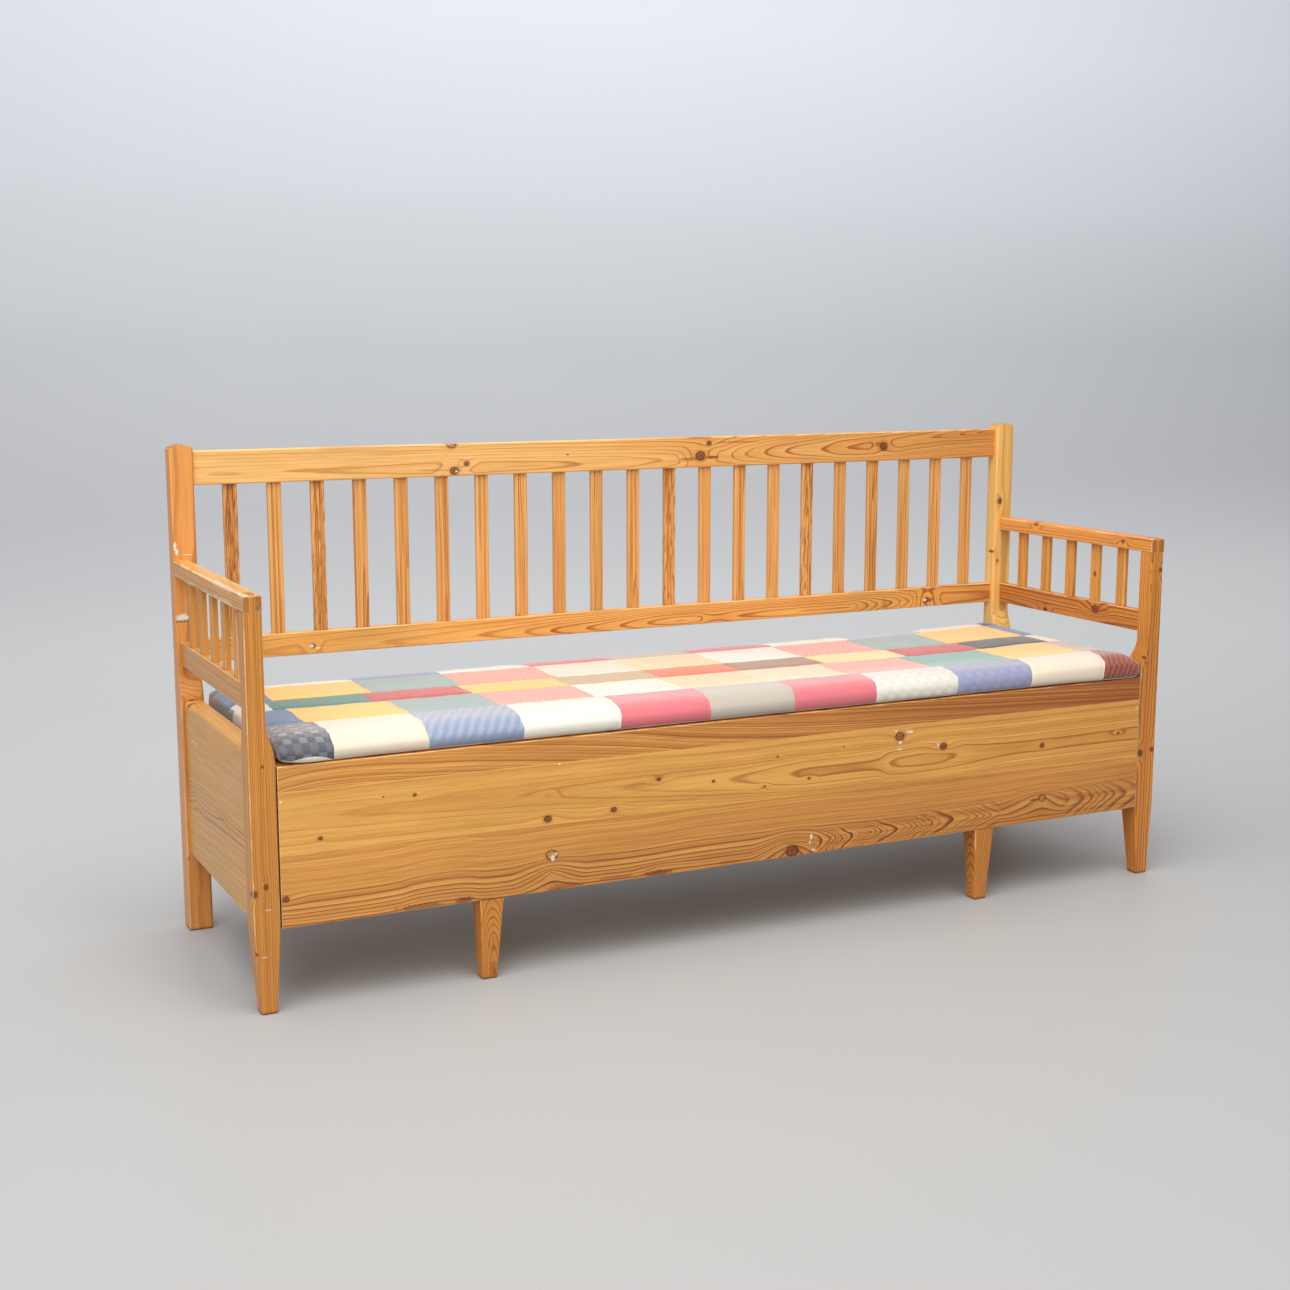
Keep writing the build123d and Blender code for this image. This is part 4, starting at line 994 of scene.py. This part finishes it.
def shapeCover(mesh):
    # seams draw in, patches puff up, and the front corner at the left is gathered
    mesh.update()
    normals = [vertex.normal.copy() for vertex in mesh.vertices]
    seamAway = mesh.attributes.new("seamAway", "FLOAT", "POINT")

    def within(value, span):
        return smoothStep(value, *cushion["spans"][span])
    for index, vertex in enumerate(mesh.vertices):
        x, y, z = vertex.co / mm
        normal = normals[index]
        away = seamDistance(x, y, z)
        seamAway.data[index].value = away
        upper = smoothStep(normal.z + 0.9 * max(0.0, -normal.y), 0.1, 0.6)
        onTop = within(z, "top")
        push = -cushion["seamDepth"] * math.exp(-(away / cushion["seamWidth"]) ** 2)
        push += cushion["puff"] * (1 - math.exp(-away / cushion["puffReach"]))
        push += cushion["ripple"] * (noiseOf(x / 46, y / 90, 3.1) + 0.5 * noiseOf(x / 21, y / 30, 8.4))
        push += cushion["crease"] * noiseOf(x / 9, y / 60, z / 22) * within(abs(x), "crease")
        spot = Vector((x, y, z)) + normal * push * upper
        spot.z += cushion["rightRise"] * onTop * within(x, "right") * (1 - within(x, "rightEnd"))
        spot.z += cushion["rearRise"] * onTop * within(y, "rear")
        corner = within(-x, "corner") * within(-y, "cornerFront") * (1 - onTop)
        spot.z += cushion["cornerRise"] * corner
        spot.x += cushion["cornerOut"] * corner * (0.6 + 0.8 * noiseOf(z / 7, y / 14, 1.0))
        bulge = within(abs(x), "bulge") * within(-y, "bulgeFront") * (1 - 0.6 * within(z, "bulgeTop"))
        spot.y -= cushion["bulge"] * bulge
        spot.z = max(spot.z, cushion["low"])
        spot.x = min(cushion["furthest"], max(-cushion["furthest"], spot.x))
        vertex.co = spot * mm
    mesh.update()


# plain woven cotton: the threads' height, their tone and the slubs in them
def makeCottonWeave():
    given = startGroup("cottonWeave", "", "Across, Along, Pitch")
    over = [calc("SINE", value / given.pitch * math.pi) for value in (given.across, given.along)]
    slub = noiseAt(join(given.across * 60.0, given.along * 1400.0, 0.0))
    slubAcross = noiseAt(join(given.across * 1400.0, given.along * 60.0, 4.0))
    slubs = (slub + slubAcross) * 0.5
    return endGroup({"Height": over[0] * over[1] * 0.5 + slubs, "Tone": ramp(slubs, 0.3, 0.7, 0.93, 1.05)})


def clothRamp(value, seams, names, reach):
    # the colour of the cloth at a place across the row, and the code of its pattern
    made = treeOf(value).nodes.new("ShaderNodeValToRGB")
    line = made.color_ramp
    line.interpolation = "CONSTANT"
    line.elements.remove(line.elements[1])
    places = [0.0] + [(seam + reach) / (2 * reach) for seam in seams]
    for index, (place, name) in enumerate(zip(places, names.split())):
        stop = line.elements[0] if index == 0 else line.elements.new(place)
        stop.position = place
        stop.color = (*screenColour(*cloths[name])[:3], patternCodes[patterns.get(name, "plain")])
    feed(made.inputs[0], ramp(value, -reach * mm, reach * mm))
    return Value(made.outputs["Color"]), Value(made.outputs["Alpha"])


def makePatchwork():
    material, shader, coords = newMaterial("patchwork")
    x, y, z = split(coords.object)
    away = addNode(x.tree, "Attribute", output="Fac", attribute_name="seamAway")  # millimetres to a seam
    facing = split(abs(coords.normal))
    upward = split(coords.normal)[2]

    # which patch a point is on. Seams wander a little, and the front row's lean
    wobble = driftAt(coords.object, 26.0, 9 * mm)
    flatX = x + wobble[0]
    share = x / (seatHalf * mm)
    bow = share * share
    way = larger(skew["start"] * mm - y, 0.0) + larger(skew["low"] * mm - z, 0.0) * (y < skew["start"] * mm)
    lean = (share * (skew["growth"] * mm) + skew["shift"] * mm) * way / (skew["length"] * mm)
    colour, code = clothRamp(flatX + lean, rows[0]["seams"], rows[0]["cloths"], seatHalf)
    for before, row in zip(rows, rows[1:]):
        rowColour, rowCode = clothRamp(flatX, row["seams"], row["cloths"], seatHalf)
        edge = share * (before["slant"] * mm) + (bow * (before["rise"] * mm) + before["far"] * mm)
        past = y + wobble[1] > edge
        colour = mixColour(past, colour, rowColour)
        code = mixValue(past, code, rowCode)
    onEnd = facing[0] > 0.72
    endColour, endCode = clothRamp(y, endRow["seams"], endRow["cloths"], endRow["reach"])
    colour = mixColour(onEnd, colour, endColour)
    code = mixValue(onEnd, code, endCode)

    # printed patterns: slanting stripes, and gingham of two crossing bands
    def isPattern(name):
        return calc("COMPARE", code, patternCodes[name], 0.06)
    across = mixValue(onEnd, x, y)
    along = mixValue(larger(facing[0], facing[1]) > 0.75, y, z)
    slant = across * 0.86 + along * -0.5
    pitch = mixValue(isPattern("stripes"), 11 * mm, 16 * mm)
    stripe = softRamp(calc("SINE", slant * math.tau / pitch), -0.7, 0.7)
    bands = [ramp(calc("SINE", value * (math.tau / (27 * mm))), -0.15, 0.15) for value in (across, along)]
    gingham = mixValue(0.5, (bands[0] + bands[1]) * 0.5, abs(bands[0] - bands[1]))
    strong = isPattern("stripes") * (stripe * 0.12) * ramp(upward, 0.1, 0.6, 0.2, 1.0)
    # painted highlight: the rounded top of the front row is paler, where light catches its edge
    paintedHighlight = softRamp(y, -255 * mm, -215 * mm) * softRamp(y, -165 * mm, -125 * mm, 0.15, 0.0)
    lighten = isPattern("faintStripes") * (stripe * 0.075) + strong + paintedHighlight
    darken = isPattern("faintChecks") * (gingham * 0.16)
    darken = darken + isPattern("checks") * between(gingham, -0.55, 0.55)
    colour = mixColour(lighten, colour, screenColour(250, 240, 226))

    # threads, washed-out patches, and painted shade: the front faces and the seams are darker than the top
    weave = useGroup(cottonWeave, across=across, along=along, pitch=cushion["thread"] * mm)
    washed = ramp(noiseAt(coords.object, 7.0, 4.0, 0.6), 0.3, 0.7, 0.96, 1.03)
    tone = (1.0 - darken) * weave.tone * washed
    # painted shade: faces that don't face up are darker than the top, and the cloth within 3.5 mm of a seam
    # is darker
    tone = tone * softRamp(upward, 0.1, 0.85, share * 0.05 + 0.83, 1.0) * ramp(away, 0.0, 3.5, 0.88, 1.0)
    colour = shade(colour, tone)

    # the lining below, and the lens of it that shows under the front's left end
    middle, reach, rise = cushion["lens"]
    part = (flatX - middle * mm) / (reach * mm)
    lens = (z - cushion["low"] * mm < (1.0 - part * part) * (rise * mm)) * (y < -200 * mm)
    colour = mixColour(larger(upward < -0.8, lens), colour, screenColour(*cushion["lining"]))
    pucker = noiseAt(coords.object, 130.0, 3.0, 0.55) * ramp(away, 0.0, 16.0, 1.0, 0.12)
    feedAll(shader, {"Base Color": colour, "Roughness": ramp(weave.height, 0.2, 1.0, 0.92, 0.78),
                     "Normal": bumpFrom(weave.height * 0.25 + pucker, 0.5, 1.2 * mm),
                     "Sheen Weight": 0.75, "Sheen Roughness": 0.45, "Specular IOR Level": 0.25})
    return material


def makeCushion():
    piece = addToScene("patchwork_cushion", cushionBase())
    even = piece.modifiers.new("even", "REMESH")
    even.mode = "VOXEL"
    even.voxel_size = cushion["voxel"] * mm
    settle(piece)
    swell(piece)
    soften = piece.modifiers.new("soften", "SMOOTH")
    soften.factor = 0.5
    soften.iterations = 2
    divide = piece.modifiers.new("divide", "SUBSURF")
    divide.levels = 1
    divide.render_levels = 1
    settle(piece)
    shapeCover(piece.data)
    piece.data.polygons.foreach_set("use_smooth", [True] * len(piece.data.polygons))
    piece.data.materials.clear()
    piece.data.materials.append(makePatchwork())
    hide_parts("seat_cushion")
    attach(piece, "cushion")


cottonWeave = makeCottonWeave()
makeCushion()
print("cushion is made")
